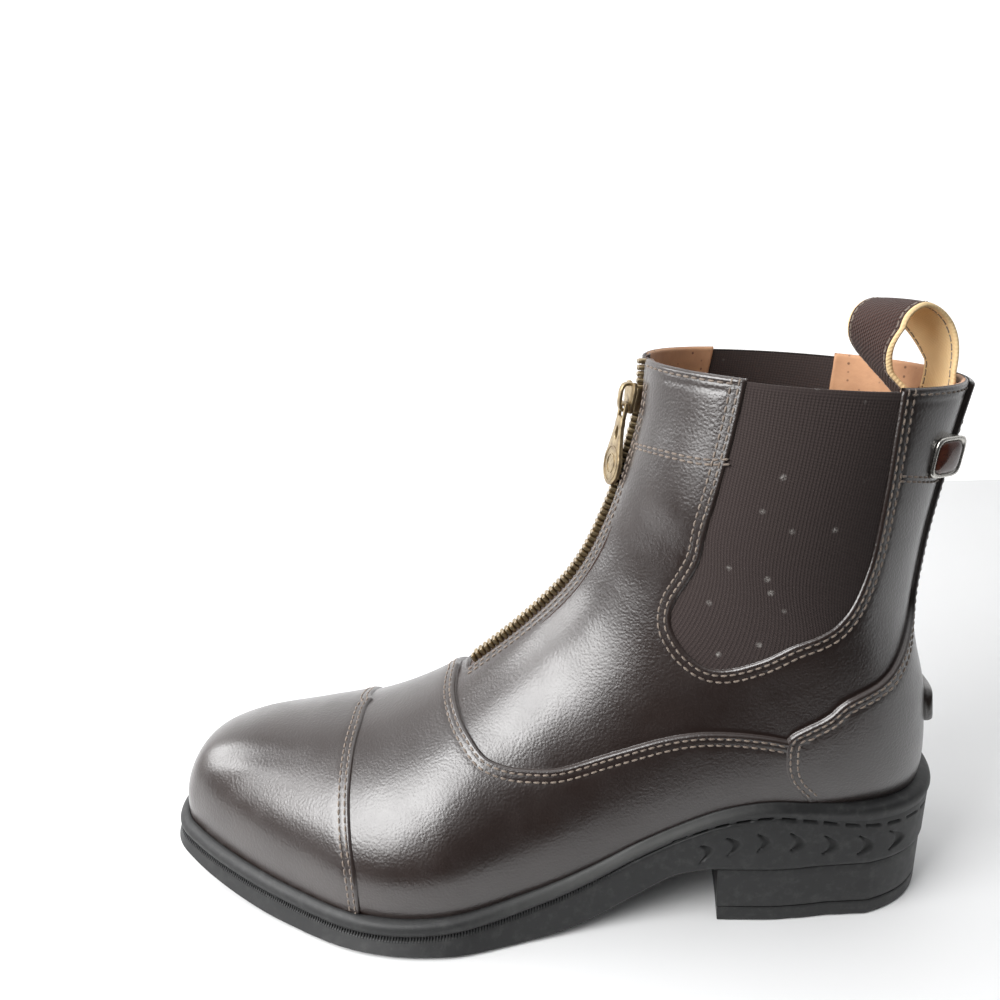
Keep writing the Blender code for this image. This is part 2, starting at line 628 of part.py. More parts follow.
def add_side_marks(sole, base):
    """Curved marks along both sides of the heel part of the sole, pointing back."""
    rows = base[1:OPEN_ROWS]
    other = base[:OPEN_ROWS:-1]
    for side, line in ((1, rows), (-1, other)):
        order = np.argsort(line[:, 0])
        for number in range(MARK_COUNT):
            x = MARK_FIRST_X - number * MARK_PITCH
            z = height_on(SOLE_TOP_LINE, x) - MARK_BELOW_TOP
            wall_share = float(foot_share(np.array([[x, 0.0]]))[0])
            wall = np.interp(x, line[order, 0], line[order, 1])
            margin = np.interp(wall_share, SOLE_STATIONS, SOLE_LEVELS["wall_top"]) * SOLE_MARGIN
            slope = np.gradient(line[order, 1], line[order, 0])
            lean = np.interp(x, line[order, 0], slope)
            loops = []
            for turn in np.linspace(-1, 1, 7):
                bend = MARK_LENGTH * (turn**2 - 0.5)
                width = MARK_THICK * (1.05 - 0.75 * abs(turn))
                centre = np.array([x + bend, 0.0, z + turn * MARK_HEIGHT / 2])
                loop = []
                for along, deep in ((-1, -1), (1, -1), (1, 1), (-1, 1)):
                    corner = centre + (along * width / 2, 0, 0)
                    depth = MARK_PROUD if deep > 0 else -3 * MARK_PROUD
                    corner[1] = wall + lean * (corner[0] - x) + side * (margin + depth)
                    loop.append(corner)
                loops.append(loop)
            apply_shape(sole, loft(f"mark_{number + 1}_{'outer' if side > 0 else 'inner'}", loops), "UNION")


def heel_outline(level):
    """The heel's D-shaped outline at one of its levels, without height: back around, then the breast."""
    base = feather_loop(0.0, 0.0)
    chosen = base[:, 0] < HEEL_BREAST_X - HEEL_CORNER
    moved = plan_offset(base, np.interp(foot_share(base), HEEL_STATIONS, HEEL_LEVELS[level]))[chosen]
    corner_outer = (HEEL_BREAST_X, moved[0, 1])
    corner_inner = (HEEL_BREAST_X, moved[-1, 1])
    breast = []
    for share in np.linspace(0, 1, 7):
        y = corner_inner[1] + (corner_outer[1] - corner_inner[1]) * share
        breast.append((HEEL_BREAST_X - BREAST_HOLLOW * math.sin(math.pi * share), y))
    return np.concatenate([moved[:, :2], np.array(breast)])


def at_height(outline, z):
    return np.column_stack([outline, np.full(len(outline), z)])


def make_heel(rubber, lift_rubber):
    block_top = SOLE_BACK_Z - GAP
    block = [at_height(heel_outline("block_low"), LIFT_THICK + GAP), at_height(heel_outline("top"), block_top)]
    loft("heel", block, rubber)
    lift = [at_height(heel_outline("floor"), 0.0), at_height(heel_outline("block_low"), LIFT_THICK)]
    loft("heel_lift", lift, lift_rubber)


def make_insole(board):
    """The insole fills the inside from wall to wall, just above the seat, with a blunt toe."""
    inside = -WALL - INSOLE_CLEAR
    first = INSOLE_FIRST_ROW
    low, high = (feather_loop(inside, lift)[first:1 - first] for lift in (GAP, GAP + INSOLE_THICK))
    count = len(low)
    faces = []
    for index in range(count):
        after = (index + 1) % count
        faces.extend(((index, after, after + count), (index, after + count, index + count)))
    for start in (0, count):
        faces.extend(span_faces([(start + row, start + count - 1 - row) for row in range(count // 2 + 1)]))
    solid("insole", np.concatenate([low, high]), faces, board)


def make_zip(tape_finish, brass):
    tape_top = -WALL - GAP
    tape = shell("zip_tape", tape_top - TAPE_THICK, tape_top, tape_finish)
    rows = np.linspace(ZIP_BOTTOM - 0.2, COLLAR, 15)
    band = ridge_band("zip_tape_band", rows, [TAPE_WIDTH] * len(rows), -5 * WALL, 0.0, past_end=WALL)
    apply_shape(tape, band, "INTERSECT")

    closed_rows = np.linspace(ZIP_BOTTOM + 0.12, SLIDER_PLACE, 13)
    rows = np.append(closed_rows, np.linspace(SLIDER_PLACE, COLLAR - 0.1, 4)[1:])
    widths = np.interp(rows, (ZIP_BOTTOM, SLIDER_PLACE, COLLAR), (CHAIN_WIDTH, CHAIN_WIDTH, CHAIN_WIDTH_TOP))
    chain = ridge_band("zip_teeth", rows, widths, tape_top + GAP, CHAIN_PROUD, brass)
    open_rows = np.linspace(SLIDER_PLACE + 0.2, COLLAR, 3)
    open_widths = np.interp(open_rows, (open_rows[0], COLLAR), (0.0006, CHAIN_WIDTH_TOP - CHAIN_WIDTH))
    notch = ridge_band("open_teeth_notch", open_rows, open_widths, -3 * WALL, 2 * WALL, past_end=WALL)
    apply_shape(chain, notch, "DIFFERENCE")


def slider_frame():
    """The slider's own frame: origin on the chain's face, then outward, sideways and upward."""
    point, out, side, rise = ridge_frame(SLIDER_PLACE)
    turned_out = out * math.cos(SLIDER_TURN) + side * math.sin(SLIDER_TURN)
    turned_side = side * math.cos(SLIDER_TURN) - out * math.sin(SLIDER_TURN)
    lean = SLIDER_WIDTH / 2 * math.sin(SLIDER_TURN)
    return point + out * (CHAIN_PROUD + GAP + lean), turned_out, turned_side, rise


def framed_block(name, frame, outs, sides, rises, finish=None):
    """A block in a frame, between two distances along each of its directions."""
    origin, out, side, rise = frame
    loops = []
    for up in rises:
        loops.append([origin + out * o + side * w + rise * up for o, w in
                      ((outs[0], sides[0]), (outs[0], sides[1]), (outs[1], sides[1]), (outs[1], sides[0]))])
    return loft(name, loops, finish)


def hinge_point():
    """The pull tab's axis: under the slider's crown, near its lower end."""
    origin, out, side, rise = slider_frame()
    reach = SLIDER_THICK + (CROWN_HEIGHT - CROWN_THICK) / 2
    return origin + out * reach - rise * HINGE_BELOW


def make_slider(brass):
    frame = slider_frame()
    half_width, half_length = SLIDER_WIDTH / 2, SLIDER_LENGTH / 2
    origin, out, side, rise = frame
    plan = []
    for up, wide in ((-1.0, 0.66), (-0.55, 0.80), (0.35, 1.0), (0.85, 0.92), (1.0, 0.60)):
        plan.append((up * half_length, wide * half_width))
    loops = []
    for level, shrink in ((0.0, 1.0), (SLIDER_THICK * 0.6, 1.0), (SLIDER_THICK, 0.86)):
        right = [origin + out * level + side * wide * shrink + rise * up * shrink for up, wide in plan]
        left = [origin + out * level - side * wide * shrink + rise * up * shrink for up, wide in plan[::-1]]
        loops.append(right + left)
    slider = loft("zip_slider", loops, brass)
    half = CROWN_WIDTH / 2
    inner_half, outer_half = CROWN_REACH, CROWN_REACH + CROWN_THICK
    top = SLIDER_THICK + CROWN_HEIGHT
    posts = (SLIDER_THICK * 0.5, top - CROWN_THICK * 0.5)
    for name, outs, rises, wide in (
            ("crown_upper_post", posts, (inner_half, outer_half), half * 0.9),
            ("crown_lower_post", posts, (-outer_half, -inner_half), half * 0.9),
            ("crown_bar", (top - CROWN_THICK, top), (-outer_half * 1.05, outer_half * 1.05), half)):
        apply_shape(slider, framed_block(name, frame, outs, (-wide, wide), rises), "UNION")


def tab_frame():
    """The pull tab's frame at its hinge: it hangs down along the zip and rests just over it."""
    hinge = hinge_point()
    _, out, side, rise = slider_frame()
    places = np.linspace(PLACE["waist"], SLIDER_PLACE - 0.5, 400)
    points = np.array([ridge_frame(s)[0] + ridge_frame(s)[1] * TAB_CLEAR for s in places])
    reach = np.linalg.norm(points - hinge, axis=1)
    end = points[np.argmin(abs(reach - TAB_LENGTH))]
    down = end - hinge
    down -= side * np.dot(down, side)
    down /= np.linalg.norm(down)
    return hinge, np.cross(side, -down), side, -down


def make_pull_tab(brass):
    """The tab: a round bar under the crown, two arms, a neck with a slot and a disc. Its origin is
    on the bar's axis, which it swings on."""
    hinge, out, side, up = tab_frame()
    half_eye = CROWN_WIDTH / 2 + GAP + LAYER_GAP
    reach = half_eye + TAB_ARM
    bar = []
    for turn in (np.arange(8) + 0.5) * math.tau / 8:
        bar.append((out * math.cos(turn) + up * math.sin(turn)) * TAB_BAR / 2)
    bar_half = half_eye + TAB_ARM * 0.8
    tab = loft("pull_tab", [[hinge + side * y + point for point in bar] for y in (-bar_half, bar_half)], brass)
    tab.data.transform(Matrix.Translation(-Vector(hinge)))
    tab.location = hinge
    half_thick = TAB_THICK / 2
    frame = (hinge, out, side, up)
    for name, sides in (("tab_arm_outer", (half_eye, reach)), ("tab_arm_inner", (-reach, -half_eye))):
        block = framed_block(name, frame, (-half_thick * 0.9, half_thick * 0.9), sides, (-TAB_EYE, TAB_BAR / 2))
        apply_shape(tab, block, "UNION")
    disc_centre = TAB_LENGTH - TAB_DISC / 2
    outline = []
    for turn in np.linspace(math.radians(62), math.radians(298), 19):
        along = -disc_centre + math.cos(turn) * TAB_DISC / 2 * 1.08
        outline.append((math.sin(turn) * TAB_DISC / 2, along))
    shoulder = (reach * 1.05, -TAB_EYE + TAB_ARM)
    neck = (TAB_NECK / 2, -TAB_EYE - TAB_NECK / 2)
    outline += [(-neck[0], neck[1]), (-shoulder[0], shoulder[1]), shoulder, neck]
    loops = [[hinge + out * level + side * across + up * along for across, along in outline]
             for level in (-half_thick, half_thick)]
    apply_shape(tab, loft("tab_plate", loops), "UNION")
    slot = framed_block("tab_slot", frame, (-TAB_THICK, TAB_THICK), (-TAB_SLOT_WIDTH / 2, TAB_SLOT_WIDTH / 2),
                        (-TAB_SLOT_LOW, -TAB_SLOT_TOP))
    apply_shape(tab, slot, "DIFFERENCE")


def make_pull_loop(webbing):
    collar_back = last(COLLAR, 2.0)
    route = np.array(LOOP_PATH)
    at = np.linspace(0, len(route) - 1, 34)
    line = through(route, at, 2 * route[0] - route[1])
    half = LOOP_THICK / 2
    sides = [moved_line(line, half), moved_line(line, -half)]
    loops = []
    for one, two in zip(*sides):
        corners = []
        for (forward, up), edge in ((one, -1), (one, 1), (two, 1), (two, -1)):
            turn = np.interp(up, (LOOP_TURN_FROM, LOOP_TURN_TO), (0, LOOP_TURN))
            ahead, y = forward - LOOP_MIDDLE, edge * LOOP_WIDTH / 2
            corners.append((collar_back[0] + LOOP_MIDDLE + ahead * math.cos(turn) - y * math.sin(turn),
                            ahead * math.sin(turn) + y * math.cos(turn), collar_back[2] + up))
        loops.append(corners)
    loft("pull_loop", loops, webbing)


def badge_frame():
    """The badge's middle with its outward, sideways and upward directions, beside the backstay's edge."""

    def directions(v):
        out = outward(BADGE_PLACE, v)
        across = np.cross((0.0, 0.0, 1.0), out)
        return out, across / np.linalg.norm(across)

    def beside_backstay(v):
        _, across = directions(v)
        inner_edge = last(BADGE_PLACE, v)[1] - abs(across[1]) * BADGE_SIZE / 2
        return inner_edge > BACKSTAY_WIDTH / 2 + BADGE_CLEAR

    v = find(np.array(2.0), np.array(1.2), beside_backstay)
    out, across = directions(v)
    return last(BADGE_PLACE, v), out, across, np.cross(out, across)


def make_badge(metal):
    """A square plate with round corners and a plain dome, on the back's outer corner."""
    point, out, across, up = badge_frame()
    top = BADGE_THICK + BADGE_RIM
    half, dome = BADGE_SIZE / 2, BADGE_DOME / 2
    turns = np.arange(24) * math.tau / 24
    square = (np.cos(turns)**4 + np.sin(turns)**4) ** -0.25
    levels = [(level, half * size * square) for level, size in
              ((BADGE_LIFT, 1.0), (BADGE_THICK * 0.7, 1.0), (top, 0.86))]
    levels += [(top + BADGE_DOME_HEIGHT * rise, dome * size * np.ones(24)) for rise, size in
               ((0.0, 1.0), (0.56, 0.84), (0.88, 0.5), (1.0, 0.15))]
    loft("badge", [[point + out * level + (across * math.cos(turn) + up * math.sin(turn)) * radius
                    for turn, radius in zip(turns, radii)] for level, radii in levels], metal)


def main():
    clear_scene()
    leather = material("leather_brown", (0.055, 0.030, 0.024), 0.38)
    elastic = material("elastic_brown", (0.045, 0.030, 0.026), 0.85)
    rubber = material("rubber_black", (0.020, 0.020, 0.021), 0.60)
    lift_rubber = material("lift_black", (0.016, 0.016, 0.017), 0.65)
    board = material("insole_tan", (0.420, 0.250, 0.160), 0.80)
    tape = material("zip_tape_brown", (0.070, 0.045, 0.035), 0.90)
    brass = material("antique_brass", (0.340, 0.270, 0.170), 0.40, 1.0)
    webbing = material("webbing_tan", (0.420, 0.300, 0.190), 0.90)
    badge_metal = material("badge_nickel", (0.550, 0.540, 0.520), 0.30, 1.0)
    make_upper(leather)
    make_outsole(rubber)
    make_heel(rubber, lift_rubber)
    make_insole(board)
    make_overlays(leather)
    make_gores(elastic)
    make_zip(tape, brass)
    make_slider(brass)
    make_pull_tab(brass)
    make_pull_loop(webbing)
    make_badge(badge_metal)
    make_spur_rest(leather)


main()
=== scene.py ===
"""Left paddock boot: leather, seams, zip, elastic gores, pull loop, badge and sole, in metres.

+X points to the toe, +Y to the outer side of the foot and +Z up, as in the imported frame.
"""
import json
import math

import bmesh
import bpy
import numpy as np
from mathutils import Matrix, Vector
from mathutils.geometry import delaunay_2d_cdt

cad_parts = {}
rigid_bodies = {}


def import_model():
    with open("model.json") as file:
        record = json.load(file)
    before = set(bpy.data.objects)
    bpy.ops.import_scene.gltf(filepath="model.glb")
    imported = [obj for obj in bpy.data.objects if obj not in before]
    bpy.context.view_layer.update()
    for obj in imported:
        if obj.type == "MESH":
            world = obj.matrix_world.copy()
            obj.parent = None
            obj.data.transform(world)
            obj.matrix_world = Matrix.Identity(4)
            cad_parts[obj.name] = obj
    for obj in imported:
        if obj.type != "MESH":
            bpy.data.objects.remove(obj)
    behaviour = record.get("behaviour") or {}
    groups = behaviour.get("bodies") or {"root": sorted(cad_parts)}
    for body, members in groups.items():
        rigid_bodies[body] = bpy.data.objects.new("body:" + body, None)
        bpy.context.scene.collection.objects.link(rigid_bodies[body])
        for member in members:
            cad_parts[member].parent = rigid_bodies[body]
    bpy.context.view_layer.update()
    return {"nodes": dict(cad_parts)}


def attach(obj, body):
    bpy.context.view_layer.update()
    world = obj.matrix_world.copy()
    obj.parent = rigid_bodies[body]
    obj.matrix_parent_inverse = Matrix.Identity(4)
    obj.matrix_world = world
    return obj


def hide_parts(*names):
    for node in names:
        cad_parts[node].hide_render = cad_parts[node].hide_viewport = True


bl_info = {
    "name": "Paddock boot dressing",
    "version": (1, 0, 0),
    "blender": (4, 5, 0),
    "location": "3D View > Sidebar > Boot",
    "description": "Builds the leather, seams, zip, elastic, loop and sole of a left paddock boot",
    "category": "Object",
}

for item in list(bpy.data.objects):
    bpy.data.objects.remove(item, do_unlink=True)
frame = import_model()
MM = 0.001

# The last: the same sections that the solids are built on. Lengths along the foot are shares of
# FOOT_LENGTH, heights of BOOT_HEIGHT and breadths of BALL_WIDTH.
FOOT_LENGTH = 0.271
BOOT_HEIGHT = 0.186
BALL_WIDTH = 0.094
HEEL_BACK_X = -0.041
SECTIONS = np.array((
    (0.994, 0.108, 0.994, 0.108, -0.050, -0.050, -0.050, 0.50, 0.62, 0.62, 0.75, 0.90),   # 0 tip
    (0.985, 0.055, 0.985, 0.182, -0.050, 0.075, -0.200, 0.50, 0.62, 0.62, 0.75, 0.90),
    (0.956, 0.015, 0.956, 0.235, -0.050, 0.160, -0.300, 0.46, 0.62, 0.60, 0.75, 0.90),
    (0.898, -0.012, 0.898, 0.268, -0.050, 0.272, -0.390, 0.42, 0.60, 0.56, 0.75, 0.90),
    (0.810, -0.024, 0.810, 0.289, -0.050, 0.415, -0.445, 0.40, 0.58, 0.54, 0.75, 0.90),
    (0.710, -0.026, 0.710, 0.322, -0.050, 0.545, -0.465, 0.38, 0.54, 0.48, 0.75, 0.90),   # 5 cap seam
    (0.610, -0.020, 0.620, 0.382, -0.050, 0.568, -0.455, 0.36, 0.50, 0.42, 0.75, 0.90),
    (0.500, 0.005, 0.545, 0.462, -0.050, 0.495, -0.420, 0.34, 0.48, 0.38, 0.75, 0.90),
    (0.385, 0.055, 0.490, 0.535, -0.035, 0.430, -0.400, 0.35, 0.50, 0.40, 0.75, 0.90),
    (0.260, 0.125, 0.453, 0.595, -0.020, 0.410, -0.395, 0.40, 0.52, 0.44, 0.72, 0.85),
    (0.120, 0.160, 0.428, 0.655, 0.000, 0.415, -0.410, 0.45, 0.54, 0.48, 0.70, 0.78),     # 10 heel seat
    (0.024, 0.200, 0.410, 0.710, 0.000, 0.430, -0.430, 0.50, 0.55, 0.50, 0.64, 0.64),
    (0.017, 0.370, 0.396, 0.760, 0.000, 0.455, -0.450, 0.49, 0.55, 0.52, 0.60, 0.60),
    (0.037, 0.520, 0.385, 0.810, 0.000, 0.470, -0.460, 0.50, 0.55, 0.52, 0.58, 0.57),
    (0.031, 0.660, 0.374, 0.862, 0.000, 0.465, -0.460, 0.50, 0.56, 0.54, 0.56, 0.56),
    (0.014, 0.800, 0.364, 0.925, 0.000, 0.450, -0.450, 0.50, 0.56, 0.56, 0.56, 0.56),
    (-0.010, 0.950, 0.360, 1.000, 0.000, 0.430, -0.430, 0.50, 0.56, 0.58, 0.56, 0.56),    # 16 collar
))
SECTION_UNITS = np.array([FOOT_LENGTH, BOOT_HEIGHT, FOOT_LENGTH, BOOT_HEIGHT] + [BALL_WIDTH] * 3 + [1] * 5)
COLLAR = 16.0
SOLE_TOP_LINE = ((0.000, 0.226), (0.060, 0.226), (0.120, 0.228), (0.170, 0.237), (0.215, 0.245),
                 (0.260, 0.236), (0.301, 0.217), (0.373, 0.172), (0.430, 0.131), (0.500, 0.096),
                 (0.590, 0.070), (0.680, 0.062), (0.780, 0.067), (0.880, 0.080), (0.960, 0.098),
                 (1.000, 0.108))
ARCH_LINE = ((0.286, 0.1075), (0.330, 0.095), (0.380, 0.060), (0.430, 0.0255), (0.480, 0.006),
             (0.530, 0.000))
TOE_SPRING_LINE = ((0.780, 0.000), (0.840, 0.004), (0.900, 0.016), (0.960, 0.036), (1.030, 0.064))
SOLE_BACK_Z = 0.020
RIM_HEIGHT = 0.0015
SOLE_MARGIN = 0.0050
SOLE_STATIONS = (0.030, 0.100, 0.160, 0.340, 0.600, 1.000)
# Each level of the sole's side: how far it stands out at the stations, as shares of SOLE_MARGIN,
# and how deep it is under the sole's top line. The last two follow the tread instead.
SOLE_LEVELS = (
    ("shoulder", (1.16, 1.08, 0.66, 0.60, 0.88, 1.05), 0.0010),
    ("bead", (1.36, 1.24, 0.84, 0.74, 1.04, 1.28), 0.0028),
    ("bead_low", (1.30, 1.20, 0.78, 0.66, 0.98, 1.20), 0.0046),
    ("groove", (1.24, 1.16, 0.74, 0.46, 0.70, 0.95), 0.0057),
    ("wall_top", (1.24, 1.16, 0.74, 0.60, 0.98, 1.26), 0.0068),
)
WALL_EDGE = (1.10, 1.20, 0.70, 0.50, 1.46, 1.50)
TREAD_EDGE = (1.00, 1.12, 0.60, 0.34, 1.26, 1.20)
TREAD_BEVEL = 0.0011
# Fine steps of the sole's side between its levels, and the level from which they run straight
SIDE_STEPS = (1, 1, 1, 3, 3, 3, 3, 6, 22, 16, 2)
STRAIGHT_FROM = 8
# Upright ribs in the groove round the front: their pitch, and the share of the foot where they start
KNURL_PITCH = 0.00095
KNURL_FROM = 0.36
KNURL_FADE = 0.10
KNURL_SHAPE = ((-1, -1.0), (-0.55, 0.0), (0.55, 0.0), (1, -1.0))
# Marks cut in the heel part of the sole's side, as (x, depth under the top line), and the dashed groove
SIDE_MARKS = ((0.0390, 0.0140), (0.0300, 0.0142), (0.0206, 0.0144), (0.0102, 0.0144), (-0.0008, 0.0150),
              (-0.0120, 0.0150), (-0.0220, 0.0152))
MARK_HALF = 0.0034
MARK_WIDTH = 0.0013
MARK_BEND = 0.0030
MARK_DEEP = 0.0007
DASH_LINE = ((-0.034, 0.0086), (-0.020, 0.0082), (-0.009, 0.0074), (0.005, 0.0062), (0.015, 0.0055),
             (0.034, 0.0055), (0.041, 0.0053), (0.050, 0.0050))
DASH_PITCH = 0.0070
DASH_WIDTH = 0.00050

# Seams as places on the last: section, then turn from the ridge (0) down the side to the base (2)
CAP_SEAM = ((4.83, 0.00), (4.78, 0.06), (4.78, 0.17), (4.77, 0.28), (4.78, 0.39), (4.82, 0.57), (4.89, 0.75),
            (4.96, 0.92), (4.97, 1.14), (4.96, 1.35))
VAMP_SEAM = ((6.20, 0.00), (6.18, 0.075), (6.20, 0.205), (6.32, 0.350), (6.47, 0.455), (6.68, 0.565),
             (6.96, 0.640), (7.30, 0.700), (7.71, 0.760), (8.28, 0.810), (8.84, 0.865), (9.62, 0.935),
             (10.21, 1.03), (10.50, 1.09), (10.75, 1.16))
COUNTER_SEAM = ((9.98, 1.35), (10.00, 1.24), (10.16, 1.155), (10.50, 1.09), (10.90, 1.10), (11.30, 1.145),
                (11.66, 1.20), (12.08, 1.33), (12.52, 1.485), (12.85, 1.62), (13.15, 1.74))
SPUR_REST_LINE = ((11.72, 1.98), (11.72, 1.84), (11.76, 1.80), (11.92, 1.79), (12.05, 1.81), (12.10, 1.86),
                  (12.10, 1.98))
# Where the lower edges of toe cap, vamp and counter end, and how far the vamp reaches under the cap
CAP_FOOT = 4.96
VAMP_FOOT = 10.35
COUNTER_FOOT = 9.93
CAP_TUCK = 0.30
BACKSTAY_LINE = ((13.36, 1.775), (13.70, 1.785), (14.40, 1.785), (15.20, 1.78), (16.00, 1.775))
GORE_SEAM = ((16.00, 0.705), (15.67, 0.700), (14.81, 0.685), (13.83, 0.675), (12.61, 0.650), (11.42, 0.605),
             (10.92, 0.597), (10.60, 0.615), (10.43, 0.655), (10.36, 0.730), (10.54, 0.810), (11.28, 0.905),
             (12.01, 1.015), (12.75, 1.190), (13.15, 1.265), (13.63, 1.310), (14.12, 1.325), (14.79, 1.310),
             (15.40, 1.285), (16.00, 1.260))
# The elastic: how far it reaches under the window's edge, its ribs and the line where its hem starts
GORE_MARGIN = 0.035
GORE_RIBS = 70
POINTS_PER_RIB = 3
HEM_LINE = 15.84
FRONT_PATCH_LINE = ((13.89, 0.145), (14.17, 0.360), (14.41, 0.570), (14.62, 0.695))
BACK_PATCH_LINE = ((14.95, 1.36), (14.95, 1.49), (14.92, 1.76))
ZIP_BOTTOM = 6.35
SLIDER_PLACE = 15.0
SLIDER_TURN = math.radians(18.0)
SLIDER_LENGTH = 0.0105
SLIDER_WIDTH = 0.0086
SLIDER_THICK = 0.0013
CROWN_HEIGHT = 0.0034
CROWN_WIDTH = 0.0022
CROWN_THICK = 0.0011
TAB_LENGTH = 0.0270
TAB_THICK = 0.0014
TAB_DISC = 0.0135
TAB_NECK = 0.0062
TAB_RING_STEPS = 32
CHAIN_PROUD = 0.0006
GAP = 0.0003
HEEL_BREAST_X = 0.0345
BREAST_HOLLOW = 0.0020
# Tread notches along the heel lift's edge on the floor
NOTCH_PITCH = 0.0145
NOTCH_AT = 0.0070
NOTCH_HALF = 0.0011
NOTCH_DEEP = 0.0008
LIFT_THICK = 0.0050
HEEL_STATIONS = (0.030, 0.100, 0.150, 0.200, 0.280)
HEEL_LEVELS = {
    "top": (0.0048, 0.0054, 0.0031, 0.0026, 0.0018),
    "block_low": (0.0042, 0.0060, 0.0034, 0.0027, 0.0022),
    "floor": (0.0040, 0.0062, 0.0035, 0.0028, 0.0024),
}
LOOP_TURN = math.radians(24.0)
LOOP_TURN_HEIGHTS = (0.0030, 0.0170)
LOOP_MIDDLE = 0.0185
LOOP_PATH = ((0.0096, -0.0130), (0.0073, -0.0040), (0.0070, 0.0040), (0.0092, 0.0130), (0.0150, 0.0202),
             (0.0222, 0.0232), (0.0285, 0.0200), (0.0300, 0.0125), (0.0265, 0.0045), (0.0200, -0.0030),
             (0.0144, -0.0100), (0.0128, -0.0160))
BADGE_PLACE = (15.22, 1.633)
BADGE_TURN = math.radians(-20.0)
BADGE_STAND = 0.0014
# Rings of the badge: millimetres over its plane, share of its size and how square it is
BADGE_RIM = ((0.3, 0.97, 5), (0.8, 1.0, 5), (1.15, 1.0, 5), (1.5, 0.955, 5), (1.6, 0.90, 4.6),
             (1.5, 0.845, 4.2), (1.1, 0.815, 4), (0.9, 0.80, 4))
BADGE_DOME = ((0.9, 0.812, 4), (1.25, 0.80, 4), (1.75, 0.70, 3.4), (2.2, 0.50, 2.6), (2.45, 0.26, 2),
              (2.52, 0.06, 2))
# Soft troughs where the leather has bent: places, then depth and half width in metres
CREASES = (
    (((2.01, 0.385), (2.77, 0.385), (3.41, 0.370), (4.02, 0.370)), 0.00028, 0.0026),
)


class BootSizes(bpy.types.PropertyGroup):
    """Sizes of the boot's pieces."""

    wall: bpy.props.FloatProperty(name="Upper", description="Thickness of the upper with its lining",
                                  default=0.0024, unit="LENGTH")
    layer_gap: bpy.props.FloatProperty(name="Layer gap", description="Glue line under an overlay",
                                       default=0.0004, unit="LENGTH")
    vamp: bpy.props.FloatProperty(name="Vamp", description="Thickness of the vamp", default=0.0012,
                                  unit="LENGTH")
    cap: bpy.props.FloatProperty(name="Toe cap", description="Thickness of the toe cap", default=0.0020,
                                 unit="LENGTH")
    counter: bpy.props.FloatProperty(name="Counter", description="Thickness of the counter and backstay",
                                     default=0.0013, unit="LENGTH")
    edge: bpy.props.FloatProperty(name="Folded edge", description="Radius of the folded edges",
                                  default=0.0010, unit="LENGTH")
    slot: bpy.props.FloatProperty(name="Zip slot", description="Width of the slot that shows the zip",
                                  default=0.0100, unit="LENGTH")
    stitch_pitch: bpy.props.FloatProperty(name="Stitch", description="Length of one stitch", default=0.0027,
                                          unit="LENGTH")
    thread: bpy.props.FloatProperty(name="Thread", description="Thickness of the thread", default=0.00074,
                                    unit="LENGTH")
    seam_near: bpy.props.FloatProperty(name="First row", description="Distance of the first stitch row",
                                       default=0.0019, unit="LENGTH")
    seam_far: bpy.props.FloatProperty(name="Second row", description="Distance of the second stitch row",
                                      default=0.0042, unit="LENGTH")
    tooth_pitch: bpy.props.FloatProperty(name="Tooth pitch", description="Distance between teeth of one side",
                                         default=0.0021, unit="LENGTH")
    loop_width: bpy.props.FloatProperty(name="Loop width", description="Width of the pull loop's webbing",
                                        default=0.0240, unit="LENGTH")
    loop_thick: bpy.props.FloatProperty(name="Loop thickness", description="Thickness of the webbing",
                                        default=0.0016, unit="LENGTH")
    badge: bpy.props.FloatProperty(name="Badge", description="Side of the square badge", default=0.0130,
                                   unit="LENGTH")


def colour(name, text, value):
    return bpy.props.FloatVectorProperty(name=name, description=text, default=value, size=3, min=0, max=1,
                                         subtype="COLOR")


class BootColours(bpy.types.PropertyGroup):
    """Colours of the boot's finishes."""

    leather: colour("Leather", "Smooth brown leather", (0.0155, 0.0085, 0.0068))
    # this lighter leather colour is also painted along the cut edges as a highlight
    leather_light_and_highlight: colour("Rubbed leather and edge highlight", "Leather lighter from wear, and the painted highlight at cut edges", (0.030, 0.0185, 0.0150))
    thread: colour("Thread", "Sewing thread", (0.210, 0.165, 0.130))
    elastic: colour("Elastic", "Woven elastic of the gores", (0.0340, 0.0220, 0.0200))
    lint: colour("Lint", "Pale fluff on the elastic", (0.360, 0.340, 0.320))
    lining: colour("Lining", "Tan lining leather", (0.560, 0.305, 0.165))
    rubber: colour("Rubber", "Black moulded rubber", (0.0140, 0.0142, 0.0145))
    dust: colour("Dust", "Grey dust on the rubber", (0.095, 0.095, 0.092))
    brass: colour("Brass", "Antique brass", (0.420, 0.330, 0.200))
    tape: colour("Tape", "Zip tape", (0.085, 0.046, 0.032))
    web_outer: colour("Webbing outside", "Brown outside of the loop", (0.050, 0.0205, 0.0145))
    web_inner: colour("Webbing inside", "Tan inside and edges of the loop", (0.760, 0.560, 0.300))
    nickel: colour("Nickel", "Rim of the badge", (0.640, 0.620, 0.580))
    enamel: colour("Enamel", "Dark dome of the badge", (0.060, 0.014, 0.008))
    floor: colour("Floor", "Pale floor", (0.740, 0.740, 0.740))


def sizes():
    return bpy.context.scene.boot_sizes


def colours():
    return bpy.context.scene.boot_colours


# The last


def spline(a, b, c, d, t):
    """A smooth curve from b to c, led by the places before and after."""
    return 0.5 * (2 * b + (c - a) * t + (2 * a - 5 * b + 4 * c - d) * t**2 + (3 * b - 3 * c + d - a) * t**3)


def through(rows, at, ghost):
    """A smooth curve through the rows of a table, starting as if a ghost row came first."""
    rows = np.vstack([ghost, rows, 2 * rows[-1] - rows[-2]])
    at = np.clip(np.asarray(at, float), 0, len(rows) - 3)
    first = np.minimum(at.astype(int), len(rows) - 4)
    t = (at - first)[..., None]
    return spline(rows[first], rows[first + 1], rows[first + 2], rows[first + 3], t)


